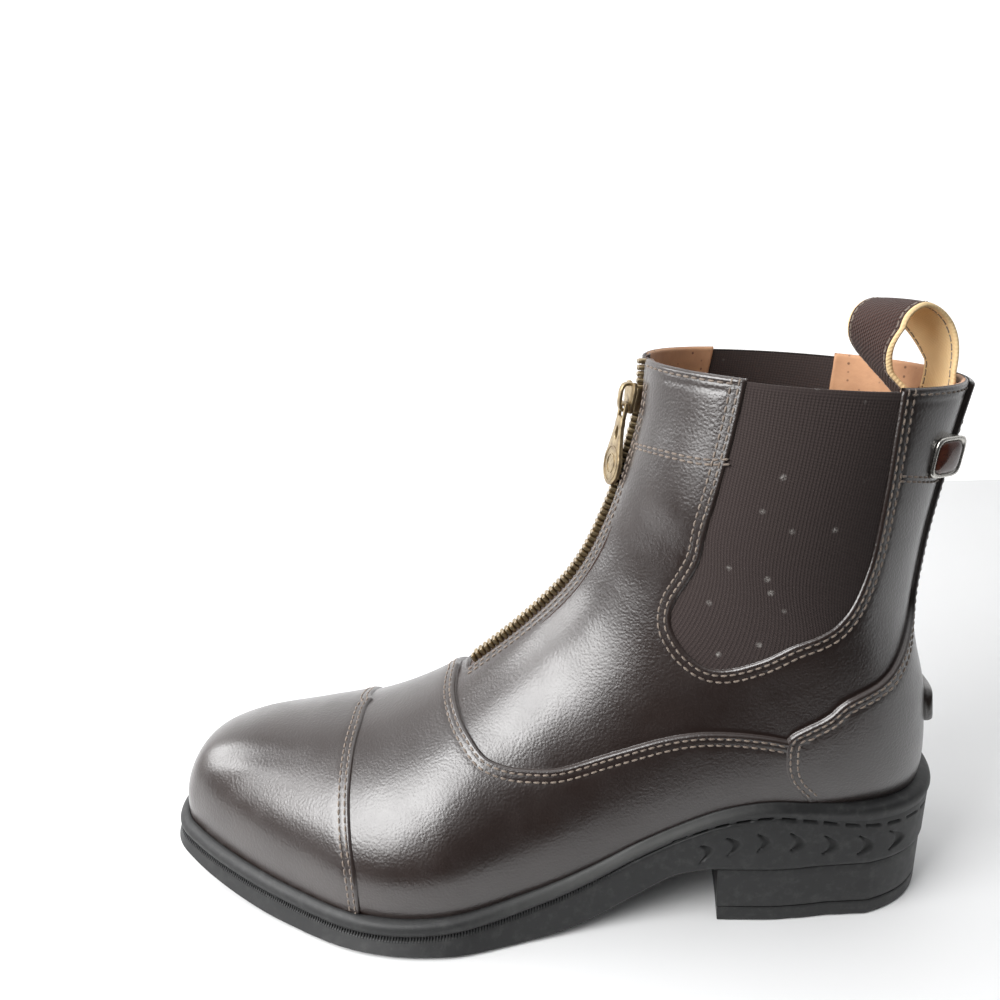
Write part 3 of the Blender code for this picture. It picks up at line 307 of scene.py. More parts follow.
def smooth_line(points, steps):
    """A smooth line through points, with a number of steps between them."""
    points = np.array(points, float)
    at = np.linspace(0, len(points) - 1, (len(points) - 1) * steps + 1)
    return through(points, at, 2 * points[0] - points[1])


def height_on(shares, x):
    line = smooth_line(np.array(shares) * (FOOT_LENGTH, BOOT_HEIGHT) + (HEEL_BACK_X, 0), 8)
    return np.interp(x, line[:, 0], line[:, 1])


def bezier(p0, p1, p2, p3, t):
    u = 1 - t
    return u**3 * p0 + 3 * u**2 * t * p1 + 3 * u * t**2 * p2 + t**3 * p3


def tip_ghost():
    tip, front = SECTIONS[0], SECTIONS[1]
    ghost = front.copy()
    ghost[1], ghost[3] = 2 * tip[1] - front[1], 2 * tip[3] - front[3]
    ghost[5], ghost[6] = 2 * tip[4] - front[5], 2 * tip[4] - front[6]
    return ghost


def last(s, v):
    """A point of the last: s runs over the sections, v from the ridge (0) down each side to the base (2)."""
    s, v = np.broadcast_arrays(np.asarray(s, float), np.asarray(v, float))
    row = through(SECTIONS, s, tip_ghost()) * SECTION_UNITS
    base_x, base_z, ridge_x, ridge_z, ridge_y, outer_y, inner_y = np.moveaxis(row[..., :7], -1, 0)
    widest, side, crown, tuck, under = np.moveaxis(row[..., 7:], -1, 0)
    turn = np.abs(v)
    breadth = np.where(v >= 0, outer_y, inner_y) - ridge_y
    upper_half = turn <= 1
    t = np.where(upper_half, turn, 2 - turn)
    across = bezier(0, np.where(upper_half, crown, under), 1, 1, t)
    along = bezier(1, 1, np.where(upper_half, side, tuck), 0, t)
    up = np.where(upper_half, widest + (1 - widest) * along, widest * (1 - along))
    x = HEEL_BACK_X + base_x + (ridge_x - base_x) * up
    return np.stack([x, ridge_y + breadth * across, base_z + (ridge_z - base_z) * up], -1)


def outward(s, v):
    step = 0.001
    s = np.maximum(s, 0.03)
    along = last(s + step, v) - last(s - step, v)
    around = last(s, v + step) - last(s, v - step)
    normal = np.cross(around, along)
    return normal / np.linalg.norm(normal, axis=-1, keepdims=True)


def relief(points):
    """How far the bent leather sinks or swells at points of the last."""
    sunk = np.zeros(len(points))
    for places, depth, width in CREASES:
        line = smooth_line(places, 10)
        route = last(line[:, 0], line[:, 1])
        fade = np.sin(np.linspace(0.12, math.pi - 0.12, len(route)))
        apart = np.linalg.norm(points[:, None] - route[None], axis=2)
        near = apart.argmin(axis=1)
        apart = apart.min(axis=1) / width
        sunk -= depth * fade[near] * (np.exp(-apart**2) - 0.45 * np.exp(-(apart - 2.1)**2))
    return sunk


def skin(s, v, out):
    """The last's surface moved out by a distance, with the bent leather's relief."""
    s, v = np.broadcast_arrays(np.asarray(s, float), np.asarray(v, float))
    base = last(s, v)
    rise = relief(base.reshape(-1, 3)).reshape(s.shape) if CREASES else 0.0
    return base + outward(s, v) * (np.asarray(out) + rise)[..., None]


def seat_height(x):
    return height_on(SOLE_TOP_LINE, x) - RIM_HEIGHT


def tread_height(x):
    arch, spring = height_on(ARCH_LINE, x), height_on(TOE_SPRING_LINE, x)
    flat_back = FOOT_LENGTH * ARCH_LINE[0][0] + HEEL_BACK_X
    return np.where(x < flat_back, SOLE_BACK_Z, np.maximum(np.minimum(arch, SOLE_BACK_Z), spring))


def find(low, high, test):
    for _ in range(34):
        middle = (low + high) / 2
        holds = test(middle)
        low, high = np.where(holds, low, middle), np.where(holds, middle, high)
    return (low + high) / 2


def over_seat(points):
    return points[..., 2] > seat_height(points[..., 0]) + GAP


FRONT_ROW = float(find(np.array(0.0), np.array(3.0), lambda s: over_seat(last(s, 0.0))))
BACK_ROW = float(find(np.array(8.0), np.array(14.0), lambda s: over_seat(last(s, 2.0))))


def feather(first, end, side, count=90):
    """Places along the upper's lower edge between two rows, on the outer (1) or inner (-1) side."""
    s = first + (end - first) * (1 - np.cos(np.linspace(0, math.pi, count))) / 2
    v = find(np.full(count, 2.0), np.zeros(count), lambda turn: over_seat(last(s, side * turn)))
    v = np.where(s <= FRONT_ROW + 1e-6, 0.0, np.where(s >= BACK_ROW - 1e-6, 2.0, v))
    return np.column_stack([s, side * v])


def mirrored(places):
    return np.asarray(places)[::-1] * (1, -1)


class Pattern:
    """The last unrolled flat, for cutting leather. A place is (section, turn): turns count from the ridge,
    or from the middle of the heel's back."""

    def __init__(self, first, end, from_back=False):
        self.from_back = from_back
        self.rows = np.linspace(first, end, 561)
        self.turns = np.linspace(-2, 2, 401)
        grid = last(self.rows[:, None], self.side(self.turns)[None])
        around = np.linalg.norm(np.diff(grid, axis=1), axis=2)
        self.around = np.concatenate([np.zeros((len(self.rows), 1)), np.cumsum(around, axis=1)], axis=1)
        self.around -= self.around[:, [len(self.turns) // 2]]
        steps = np.linalg.norm(np.diff(grid, axis=0), axis=2)
        self.along = np.concatenate([[0], np.cumsum(steps.mean(axis=1))])
        self.longest = np.concatenate([[0], np.cumsum(steps.max(axis=1))])

    def side(self, turn):
        """The last's turn from the ridge for this pattern's turn."""
        turn = np.asarray(turn, float)
        return np.where(turn < 0, -1, 1) * (2 - np.abs(turn)) if self.from_back else turn

    def own(self, places):
        """Places measured from the ridge as this pattern counts them."""
        places = np.array(places, float)
        places[:, 1] = self.side(places[:, 1])
        return places

    def row_lengths(self, s):
        at = np.clip((s - self.rows[0]) / (self.rows[1] - self.rows[0]), 0, len(self.rows) - 1.001)
        low = at.astype(int)
        return self.around[low] + (self.around[low + 1] - self.around[low]) * (at - low)[:, None]

    def flat(self, places):
        lengths = self.row_lengths(places[:, 0])
        at = np.clip((places[:, 1] + 2) / 4 * (len(self.turns) - 1), 0, len(self.turns) - 1.001)
        low = at.astype(int)
        pick = np.arange(len(places))
        across = lengths[pick, low] + (lengths[pick, low + 1] - lengths[pick, low]) * (at - low)
        return np.column_stack([np.interp(places[:, 0], self.rows, self.along), across])

    def places(self, flat):
        s = np.interp(flat[:, 0], self.along, self.rows)
        lengths = self.row_lengths(s)
        return np.column_stack([s, [np.interp(x, row, self.turns) for x, row in zip(flat[:, 1], lengths)]])

    def point(self, places, out=None):
        v = self.side(places[:, 1])
        return last(places[:, 0], v) if out is None else skin(places[:, 0], v, out)

    def normal(self, places):
        return outward(places[:, 0], self.side(places[:, 1]))

    def even(self, places, step):
        """The line at even steps of its real length, ends kept."""
        places = np.asarray(places, float)
        fine = np.concatenate([a + (b - a) * np.linspace(0, 1, 12, endpoint=False)[:, None]
                               for a, b in zip(places, places[1:])] + [places[-1:]])
        length = np.concatenate([[0], np.cumsum(np.linalg.norm(np.diff(self.point(fine), axis=0), axis=1))])
        count = max(2, int(round(length[-1] / step)) + 1)
        at = np.linspace(0, length[-1], count)
        return np.column_stack([np.interp(at, length, fine[:, k]) for k in (0, 1)])

    def aside(self, places, distance):
        """The line moved to its left by a real distance."""
        flat = self.flat(places)
        along = np.gradient(flat, axis=0)
        left = np.column_stack([-along[:, 1], along[:, 0]])
        left /= np.maximum(np.linalg.norm(left, axis=1, keepdims=True), 1e-9)
        trial = 0.3 * MM
        moved = np.linalg.norm(self.point(self.places(flat + left * trial)) - self.point(places), axis=1)
        ratio = np.clip(moved / trial, 0.35, 3.0)[:, None]
        return self.places(flat + left * distance / ratio)


def inside_of(points, outline):
    x, y = points.T
    result = np.zeros(len(points), bool)
    for (x0, y0), (x1, y1) in zip(outline, np.roll(outline, -1, axis=0)):
        if y0 != y1:
            result ^= ((y0 > y) != (y1 > y)) & (x < (x1 - x0) * (y - y0) / (y1 - y0) + x0)
    return result


def distance_to(points, line, cut):
    """Real distance from points to the cut parts of a closed line."""
    chosen = np.flatnonzero(cut)
    best = np.empty(len(points))
    before, after = np.roll(line, 1, axis=0), np.roll(line, -1, axis=0)
    for start in range(0, len(points), 1500):
        some = points[start:start + 1500]
        near = chosen[((some[:, None] - line[chosen][None])**2).sum(axis=2).argmin(axis=1)]
        options = []
        for a, b in ((before[near], line[near]), (line[near], after[near])):
            length = np.maximum(((b - a)**2).sum(axis=1), 1e-14)
            t = np.clip(((some - a) * (b - a)).sum(axis=1) / length, 0, 1)
            options.append(np.linalg.norm(some - a - (b - a) * t[:, None], axis=1))
        best[start:start + 1500] = np.minimum(*options)
    return best


class Layer:
    """One leather layer: its faces' heights over the last, its edge's radius and its sewn grooves."""

    def __init__(self, low, high, edge, grooves=(), back=None):
        self.low, self.high, self.edge, self.grooves = low, high, edge, grooves
        self.back = low if back is None else back

    def round_off(self, distance):
        return np.sqrt(1 - (1 - np.clip(distance / self.edge, 0, 1))**2)

    def top(self, distance):
        distance = np.asarray(distance, float)
        out = self.low + (self.high - self.low) * self.round_off(distance)
        out = out + 0.12 * MM * np.exp(-((distance - self.edge) / self.edge)**2)
        for at in self.grooves:
            out = out - 0.16 * MM * np.exp(-((distance - at) / (0.55 * MM))**2)
        return out

    def under(self, distance):
        return self.low + (self.back - self.low) * self.round_off(np.asarray(distance, float))


def make_piece(name, points, faces, finishes, slot=None, body="boot", replaces=(), face_finish=None,
               fields=None, flat_angle=None):
    """A mesh piece in world metres that rides on a body and stands for CAD nodes."""
    mesh = bpy.data.meshes.new(name)
    mesh.from_pydata(np.asarray(points).tolist(), [], [tuple(int(i) for i in face) for face in faces])
    for finish in finishes:
        mesh.materials.append(finish)
    if face_finish is not None:
        mesh.polygons.foreach_set("material_index", np.asarray(face_finish, np.int32))
    for field, values in (fields or {}).items():
        mesh.attributes.new(field, "FLOAT", "POINT").data.foreach_set("value", np.asarray(values, np.float32))
    mesh.validate()
    mesh.shade_smooth()
    if flat_angle:
        mesh.set_sharp_from_angle(angle=math.radians(flat_angle))
    made = bpy.data.objects.new(name, mesh)
    bpy.context.scene.collection.objects.link(made)
    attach(made, body)
    if replaces:
        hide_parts(*replaces)
    return made


def cut_leather(name, pattern, sides, layer, spacing, finishes, rings, **how):
    """A leather piece cut along sides, each (places, whether that side is a cut edge that shows)."""
    lines = [pattern.even(pattern.own(places) if pattern.from_back else places, 1.1 * MM)[:-1]
             for places, _ in sides]
    outline = np.concatenate(lines)
    cut = np.concatenate([np.full(len(line), shown) for line, (_, shown) in zip(lines, sides)])
    flat = pattern.flat(outline)
    turned = np.roll(flat, -1, axis=0)
    if (flat[:, 0] * turned[:, 1] - flat[:, 1] * turned[:, 0]).sum() < 0:
        outline, cut, flat = outline[::-1], cut[::-1], flat[::-1]
    edge_points = pattern.point(outline)

    candidates, kinds = [], []
    closed = np.concatenate([outline[-1:], outline, outline[:1]])
    for ring in rings:
        moved = pattern.aside(closed, ring)[1:-1][cut]
        candidates.append(moved)
        kinds.append(np.full(len(moved), ring))
    low, high = outline.min(axis=0), outline.max(axis=0)
    reach = np.interp([low[0], high[0]], pattern.rows, pattern.longest)
    row_places = np.interp(np.arange(reach[0] + spacing / 2, reach[1], spacing * 0.87),
                           pattern.longest, pattern.rows)
    for number, (s, lengths) in enumerate(zip(row_places, pattern.row_lengths(row_places))):
        ends = np.interp([low[1], high[1]], pattern.turns, lengths)
        at = np.arange(ends[0] + spacing * (0.25 + 0.5 * (number % 2)), ends[1], spacing)
        candidates.append(np.column_stack([np.full(len(at), s), np.interp(at, lengths, pattern.turns)]))
        kinds.append(np.zeros(len(at)))
    candidates, kinds = np.concatenate(candidates), np.concatenate(kinds)
    candidate_flat = pattern.flat(candidates)
    keep = inside_of(candidate_flat, flat)
    candidates, kinds, candidate_flat = candidates[keep], kinds[keep], candidate_flat[keep]
    apart = distance_to(pattern.point(candidates), edge_points, np.ones(len(cut), bool))
    to_cut = distance_to(pattern.point(candidates), edge_points, cut) if cut.any() else apart + 1
    keep = np.where(kinds > 0, (to_cut > kinds * 0.82) & (apart > 0.08 * MM),
                    (to_cut > max(rings) + spacing * 0.45 if rings else True) & (apart > spacing * 0.45))
    places = np.concatenate([outline, candidates[keep]])
    flat_all = np.concatenate([flat, candidate_flat[keep]])

    count = len(outline)
    edges = [(index, (index + 1) % count) for index in range(count)]
    found, _, triangles, origin, _, _ = delaunay_2d_cdt(
        [Vector(pair) for pair in (flat_all / MM).tolist()], edges, [], 0, 1e-5)
    found = np.array([tuple(pair) for pair in found]) * MM
    at = np.array([own[0] if own else -1 for own in origin])
    extra = at < 0
    all_places = places[np.maximum(at, 0)]
    if extra.any():
        all_places[extra] = pattern.places(found[extra])
    triangles = np.array([tuple(face) for face in triangles])
    triangles = triangles[inside_of(found[triangles].mean(axis=1), flat)]
    base = pattern.point(all_places)
    distance = distance_to(base, edge_points, cut) if cut.any() else np.full(len(base), 1.0)
    of_outline = (at >= 0) & (at < count)
    on_edge = of_outline & np.append(cut, False)[np.where(of_outline, at, -1)]
    distance[on_edge] = 0.0
    normal = pattern.normal(all_places)
    front = pattern.point(all_places, layer.top(distance))
    back = pattern.point(all_places, layer.under(distance))
    a, b, c = (base[triangles[:, k]] for k in range(3))
    flipped = (np.cross(b - a, c - a) * normal[triangles[:, 0]]).sum(axis=1) < 0
    triangles[flipped] = triangles[flipped][:, ::-1]

    # the border: edges that only one triangle has
    pairs = np.concatenate([triangles[:, [0, 1]], triangles[:, [1, 2]], triangles[:, [2, 0]]])
    seen = {tuple(pair) for pair in pairs.tolist()}
    border = [pair for pair in seen if (pair[1], pair[0]) not in seen]
    total = len(base)
    cut_edge = np.abs(front - back).max(axis=1) < 1e-7
    back_of = np.where(cut_edge, np.arange(total), np.arange(total) + total)
    faces = triangles.tolist() + back_of[triangles][:, ::-1].tolist()
    marks = [0] * len(triangles) + [len(finishes) - 1] * len(triangles)
    for one, two in border:
        wall = [one, back_of[one], back_of[two], two]
        wall = [corner for place, corner in enumerate(wall) if corner not in wall[:place]]
        if len(wall) > 2:
            faces.append(wall[::-1])
            marks.append(0)
    # the distance to the cut edge also places the painted edge highlight on the leather
    return make_piece(name, np.concatenate([front, back]), faces, finishes, face_finish=marks,
                      fields={"cut": np.concatenate([distance, distance])}, **how)


# Finishes


class Finish:
    """A node material, with short ways to add nodes and links."""

    def __init__(self, name, base, roughness, metallic=0.0, **sockets):
        self.material = bpy.data.materials.new(name)
        self.material.use_nodes = True
        self.tree = self.material.node_tree
        self.shader = self.tree.nodes["Principled BSDF"]
        self.base = (*base, 1.0)
        self.shader.inputs["Base Color"].default_value = self.base
        self.shader.inputs["Roughness"].default_value = roughness
        self.shader.inputs["Metallic"].default_value = metallic
        for socket, value in sockets.items():
            self.shader.inputs[socket.replace("_", " ")].default_value = value
        self.bump = None
        self.place = self.node("ShaderNodeTexCoord").outputs["Object"]

    def node(self, kind, inputs=None, **settings):
        made = self.tree.nodes.new(kind)
        for key, value in settings.items():
            setattr(made, key, value)
        for key, value in (inputs or {}).items():
            if isinstance(value, bpy.types.NodeSocket):
                self.tree.links.new(value, made.inputs[key])
            else:
                made.inputs[key].default_value = value
        return made

    def noise(self, scale, detail=3.0, roughness=0.5, stretch=None):
        place = self.place
        if stretch:
            place = self.node("ShaderNodeVectorMath", {0: place, 1: stretch}, operation="MULTIPLY").outputs[0]
        return self.node("ShaderNodeTexNoise", {"Vector": place, "Scale": scale, "Detail": detail,
                                                "Roughness": roughness}).outputs[0]

    def cells(self, scale, feature="F1", randomness=1.0):
        inputs = {"Vector": self.place, "Scale": scale, "Randomness": randomness}
        return self.node("ShaderNodeTexVoronoi", inputs, feature=feature).outputs["Distance"]

    def field(self, name):
        return self.node("ShaderNodeAttribute", attribute_name=name).outputs["Fac"]

    def math(self, operation, a, b=0.0, c=0.0):
        return self.node("ShaderNodeMath", {0: a, 1: b, 2: c}, operation=operation).outputs[0]

    def wave(self, field, pitch):
        """Even waves along a length that the mesh carries."""
        return self.math("SINE", self.math("MULTIPLY", self.field(field), math.tau / pitch))

    def span(self, value, low, high, to_low=0.0, to_high=1.0):
        return self.node("ShaderNodeMapRange", {0: value, 1: low, 2: high, 3: to_low, 4: to_high}).outputs[0]

    def tint(self, factor, other, strength=1.0):
        """Mixes another colour over the base by a factor."""
        current = self.shader.inputs["Base Color"]
        mix = self.node("ShaderNodeMix", {0: self.math("MULTIPLY", factor, strength)}, data_type="RGBA")
        if current.links:
            self.tree.links.new(current.links[0].from_socket, mix.inputs[6])
        else:
            mix.inputs[6].default_value = self.base
        mix.inputs[7].default_value = (*other, 1.0)
        self.tree.links.new(mix.outputs[2], current)

    def gloss(self, factor, low, high):
        self.tree.links.new(self.span(factor, 0.0, 1.0, low, high), self.shader.inputs["Roughness"])

    def raise_by(self, height, distance, strength=1.0):
        """Adds a bump of a real depth."""
        inputs = {"Height": height, "Distance": distance, "Strength": strength}
        if self.bump:
            inputs["Normal"] = self.bump
        self.bump = self.node("ShaderNodeBump", inputs).outputs[0]
        self.tree.links.new(self.bump, self.shader.inputs["Normal"])


FINISHES = {}


def leather_finish(tone):
    """Smooth brown leather with fine grain, lighter at the cut edges: partly rubbed wear, partly a painted
    highlight.
    """
    leather = Finish("leather_brown", tone.leather, 0.33, Coat_Weight=0.35, Coat_Roughness=0.22,
                     Specular_IOR_Level=0.90)
    patchy = leather.noise(38.0, 4.0, 0.55)
    leather.tint(leather.span(patchy, 0.42, 0.74), tone.leather_light_and_highlight, 0.35)
    # painted highlight mixed with rubbed wear: the leather is lightened within 1.3 mm of each cut edge
    rubbed_and_edge_highlight = leather.span(leather.field("cut"), 0.0, 0.0013, 1.0, 0.0)
    leather.tint(rubbed_and_edge_highlight, tone.leather_light_and_highlight, 0.75)
    leather.gloss(leather.span(leather.noise(95.0, 3.0), 0.3, 0.7), 0.29, 0.38)
    leather.raise_by(leather.cells(1250.0, "SMOOTH_F1"), 0.00012, 0.70)
    leather.raise_by(leather.noise(2600.0, 2.0), 0.00004, 0.6)
    leather.raise_by(leather.noise(60.0, 2.0), 0.00030, 0.20)
    return leather.material


def lining_finish(tone):
    """Tan lining with rows of pinholes, darkened inside as painted shade."""
    lining = Finish("lining_tan", tone.lining, 0.72, Sheen_Weight=0.15)
    lining.tint(lining.span(lining.noise(160.0, 4.0), 0.35, 0.75), (0.36, 0.17, 0.085), 0.5)
    holes = lining.span(lining.cells(330.0, randomness=0.12), 0.10, 0.20, 1.0, 0.0)
    # painted shade inside the pinholes
    lining.tint(holes, (0.10, 0.04, 0.02), 0.8)
    lining.raise_by(holes, 0.0004, -0.6)
    lining.raise_by(lining.cells(900.0), 0.0001, 0.5)
    return lining.material


def thread_finish(tone):
    thread = Finish("thread_brown", tone.thread, 0.62, Sheen_Weight=0.25)
    thread.tint(thread.span(thread.noise(420.0, 2.0), 0.35, 0.7), (0.085, 0.060, 0.047), 0.7)
    thread.raise_by(thread.noise(5200.0, 2.0), 0.00008, 0.6)
    return thread.material


def elastic_finish(tone):
    """Woven elastic: cross threads with painted shade between them, a painted highlight on the rib crests,
    and specks of lint.
    """
    elastic = Finish("elastic_brown", tone.elastic, 0.88, Sheen_Weight=0.06, Sheen_Roughness=0.5)
    weft = elastic.wave("along", 0.00085)
    elastic.raise_by(weft, 0.00008, 0.5)
    # painted shade between the cross threads: darker where the weft bump is low
    elastic.tint(elastic.span(weft, -1.0, 1.0, 0.22, 0.0), (0.008, 0.0055, 0.005), 1.0)
    # painted highlight on the rib crests: lighter where the ribs stand highest
    crest_highlight = elastic.span(elastic.field("rib"), 0.55, 1.0)
    elastic.tint(crest_highlight, (0.060, 0.041, 0.037), 0.6)
    fluff = elastic.span(elastic.cells(105.0, randomness=0.85), 0.03, 0.125, 1.0, 0.0)
    fluff = elastic.math("MULTIPLY", fluff, elastic.span(elastic.noise(2400.0, 2.0), 0.36, 0.60))
    elastic.tint(fluff, tone.lint, 0.85)
    elastic.raise_by(elastic.noise(3800.0, 2.0), 0.00008, 0.5)
    return elastic.material


def rubber_finish(tone):
    """Black rubber with scuffs, specks and dust, and painted shade darkening the cut marks."""
    rubber = Finish("rubber_black", tone.rubber, 0.50, Specular_IOR_Level=0.45)
    scuffs = rubber.span(rubber.noise(260.0, 6.0, 0.7), 0.50, 0.80)
    rubber.tint(scuffs, tone.dust, 0.30)
    specks = rubber.span(rubber.cells(420.0), 0.0, 0.10, 1.0, 0.0)
    rubber.tint(specks, tone.dust, 0.30)
    rubber.tint(rubber.field("dust"), tone.dust, 0.75)
    # painted shade: the cut marks and the dashed groove are darkened almost to black
    rubber.tint(rubber.field("recess_shade"), (0.0015, 0.0015, 0.0015), 0.95)
    rubber.gloss(rubber.noise(300.0, 4.0), 0.42, 0.62)
    rubber.raise_by(rubber.noise(900.0, 4.0, 0.65), 0.00008, 0.5)
    return rubber.material


def brass_finish(tone):
    """Antique brass, darker in patches."""
    brass = Finish("antique_brass", tone.brass, 0.36, metallic=1.0)
    brass.tint(brass.span(brass.noise(420.0, 4.0), 0.40, 0.70), (0.17, 0.12, 0.07), 0.75)
    brass.gloss(brass.noise(700.0, 3.0), 0.26, 0.50)
    brass.raise_by(brass.noise(1500.0, 3.0), 0.00005, 0.5)
    return brass.material


def tape_finish(tone):
    """Woven zip tape."""
    tape = Finish("zip_tape_brown", tone.tape, 0.9, Sheen_Weight=0.3)
    rows = tape.wave("along", 0.0007)
    ribs = tape.wave("across", 0.0008)
    tape.raise_by(tape.math("ADD", rows, ribs), 0.00012, 0.8)
    tape.tint(tape.span(rows, -1.0, 1.0), (0.030, 0.017, 0.013), 0.6)
    return tape.material


def webbing_finish(name, base, dark, depth, strength):
    """Twill webbing: slanted ridges crossed by fine ones, darker between the ridges."""
    web = Finish(name, base, 0.85, Sheen_Weight=0.04)
    slant = web.math("ADD", web.math("MULTIPLY", web.field("along"), math.tau / 0.0013),
                     web.math("MULTIPLY", web.field("across"), math.tau / 0.0026))
    twill = web.math("SINE", slant)
    web.raise_by(web.math("ADD", twill, web.wave("across", 0.0010)), 0.00014, depth)
    web.tint(web.span(twill, -1.0, 1.0), dark, strength)
    return web.material


def outer_webbing_finish(tone):
    return webbing_finish("webbing_outer", tone.web_outer, (0.022, 0.010, 0.008), 0.8, 0.7)


def inner_webbing_finish(tone):
    return webbing_finish("webbing_inner", tone.web_inner, (0.62, 0.43, 0.21), 0.35, 0.25)


def nickel_finish(tone):
    nickel = Finish("nickel_satin", tone.nickel, 0.28, metallic=1.0)
    nickel.gloss(nickel.noise(900.0, 3.0), 0.20, 0.36)
    return nickel.material


def enamel_finish(tone):
    enamel = Finish("enamel_dark", tone.enamel, 0.18, Coat_Weight=0.8, Coat_Roughness=0.06)
    enamel.tint(enamel.span(enamel.noise(500.0, 3.0), 0.4, 0.7), (0.11, 0.035, 0.015), 0.5)
    return enamel.material


def insole_finish(_):
    board = Finish("insole_tan", (0.30, 0.17, 0.10), 0.85)
    board.tint(board.noise(140.0, 4.0), (0.16, 0.09, 0.05), 0.5)
    board.raise_by(board.cells(700.0), 0.0001, 0.5)
    return board.material


def floor_finish(tone):
    ground = Finish("pale_floor", tone.floor, 0.55)
    ground.tint(ground.span(ground.noise(14.0, 4.0), 0.4, 0.7), (0.74, 0.745, 0.75), 0.4)
    return ground.material


def wall_finish(tone):
    """The wall glows a little, so that it stays as pale as the floor."""
    return Finish("pale_wall", tone.floor, 0.8, Emission_Color=(1.0, 1.0, 1.0, 1.0),
                  Emission_Strength=0.46).material


def make_finishes():
    """All materials of the boot and its stage."""
    tone = colours()
    for name, make in (("leather", leather_finish), ("lining", lining_finish), ("thread", thread_finish),
                       ("elastic", elastic_finish), ("rubber", rubber_finish), ("brass", brass_finish),
                       ("tape", tape_finish), ("web_outer", outer_webbing_finish),
                       ("web_inner", inner_webbing_finish), ("nickel", nickel_finish),
                       ("enamel", enamel_finish), ("insole", insole_finish), ("floor", floor_finish),
                       ("wall", wall_finish)):
        FINISHES[name] = make(tone)


# Seams


def seam_line(pattern, places, aside, layer, at_distance=None):
    """Points and normals for a stitch row beside a seam."""
    line = pattern.even(pattern.own(places) if pattern.from_back else np.asarray(places, float), 0.5 * MM)
    if aside:
        line = pattern.aside(line, aside)
    out = layer.top(abs(aside) if at_distance is None else at_distance)
    return pattern.point(line, np.full(len(line), out)), pattern.normal(line)


def make_stitches(name, lines, replaces=()):
    """Rows of single stitches, each a short swelling thread that dips into the leather at its ends."""
    pitch, thread = sizes().stitch_pitch, sizes().thread
    rings = np.array([-0.84, -0.5, 0.0, 0.5, 0.84])
    centres, ways, ups = [], [], []
    for points, normals in lines:
        length = np.concatenate([[0], np.cumsum(np.linalg.norm(np.diff(points, axis=0), axis=1))])
        count = max(1, int(length[-1] / pitch))
        middle = (np.arange(count) + 0.5) * length[-1] / count

        def at(where, values=points):
            return np.column_stack([np.interp(where, length, values[:, k]) for k in range(3)])

        way = at(middle + pitch * 0.3) - at(middle - pitch * 0.3)
        centres.append(at(middle))
        ways.append(way / np.linalg.norm(way, axis=1, keepdims=True))
        ups.append(at(middle, normals))
    centre, way, up = map(np.concatenate, (centres, ways, ups))
    up /= np.linalg.norm(up, axis=1, keepdims=True)
    side = np.cross(up, way)
    half = pitch * 0.43
    turns = np.arange(6) * math.tau / 6
    parts = [centre - way * half - up * thread * 0.35]
    for ring in rings:
        body = math.sqrt(1 - ring**4)
        lift = thread * (0.22 - 0.42 * ring**2)
        for turn in turns:
            parts.append(centre + way * half * ring + side * math.cos(turn) * thread * 0.5 * body
                         + up * (math.sin(turn) * thread * 0.42 * body + lift))
    parts.append(centre + way * half - up * thread * 0.35)
    each = len(parts)
    points = np.stack(parts, axis=1).reshape(-1, 3)
    local = []
    for turn in range(6):
        after = (turn + 1) % 6
        local.append((0, 1 + after, 1 + turn))
        for ring in range(4):
            a, b = 1 + ring * 6 + turn, 1 + ring * 6 + after
            local.append((a, b, b + 6, a + 6))
        local.append((1 + 24 + turn, 1 + 24 + after, each - 1))
    faces = [tuple(start + corner for corner in face)
             for start in range(0, len(points), each) for face in local]
    return make_piece(name, points, faces, [FINISHES["thread"]], slot="leather", replaces=replaces)


# Pieces


def layers():
    size = sizes()
    rows = (size.seam_near, size.seam_far)
    over = size.layer_gap
    return {
        "upper": Layer(-size.wall * 0.46, 0.0, size.edge, rows, back=-size.wall * 0.92),
        "vamp": Layer(-0.05 * MM, over + size.vamp, size.edge, rows),
        "cap": Layer(-0.05 * MM, over + size.cap, size.edge, rows),
        "counter": Layer(-0.05 * MM, over + size.counter, size.edge, rows),
    }


def front_pattern():
    if "front" not in PATTERNS:
        PATTERNS["front"] = Pattern(FRONT_ROW, COLLAR)
    return PATTERNS["front"]


def back_pattern():
    if "back" not in PATTERNS:
        PATTERNS["back"] = Pattern(9.0, COLLAR, from_back=True)
    return PATTERNS["back"]


PATTERNS = {}
FAR_FROM_EDGE = 0.020
# Rings of mesh points inside a cut edge, by their distance from it
EDGE_RINGS = tuple(at * MM for at in (0.12, 0.38, 0.85, 1.35, 1.9, 2.45, 3.1, 3.7, 4.25, 4.9))
SPUR_RINGS = (0.15 * MM, 0.4 * MM, 0.8 * MM, 1.2 * MM)


def slot_edge(side):
    """The zip slot's edge from the collar down to its round lower end, on one side."""
    pattern = front_pattern()
    s = np.linspace(COLLAR, ZIP_BOTTOM, 40)
    half = sizes().slot * np.interp(s, (ZIP_BOTTOM, SLIDER_PLACE, COLLAR), (0.5, 0.5, 0.62))
    near = pattern.flat(np.column_stack([s, np.zeros(len(s))]))
    return pattern.places(np.column_stack([near[:, 0], side * half]))


def gore_edge():
    return smooth_line(GORE_SEAM, 5)


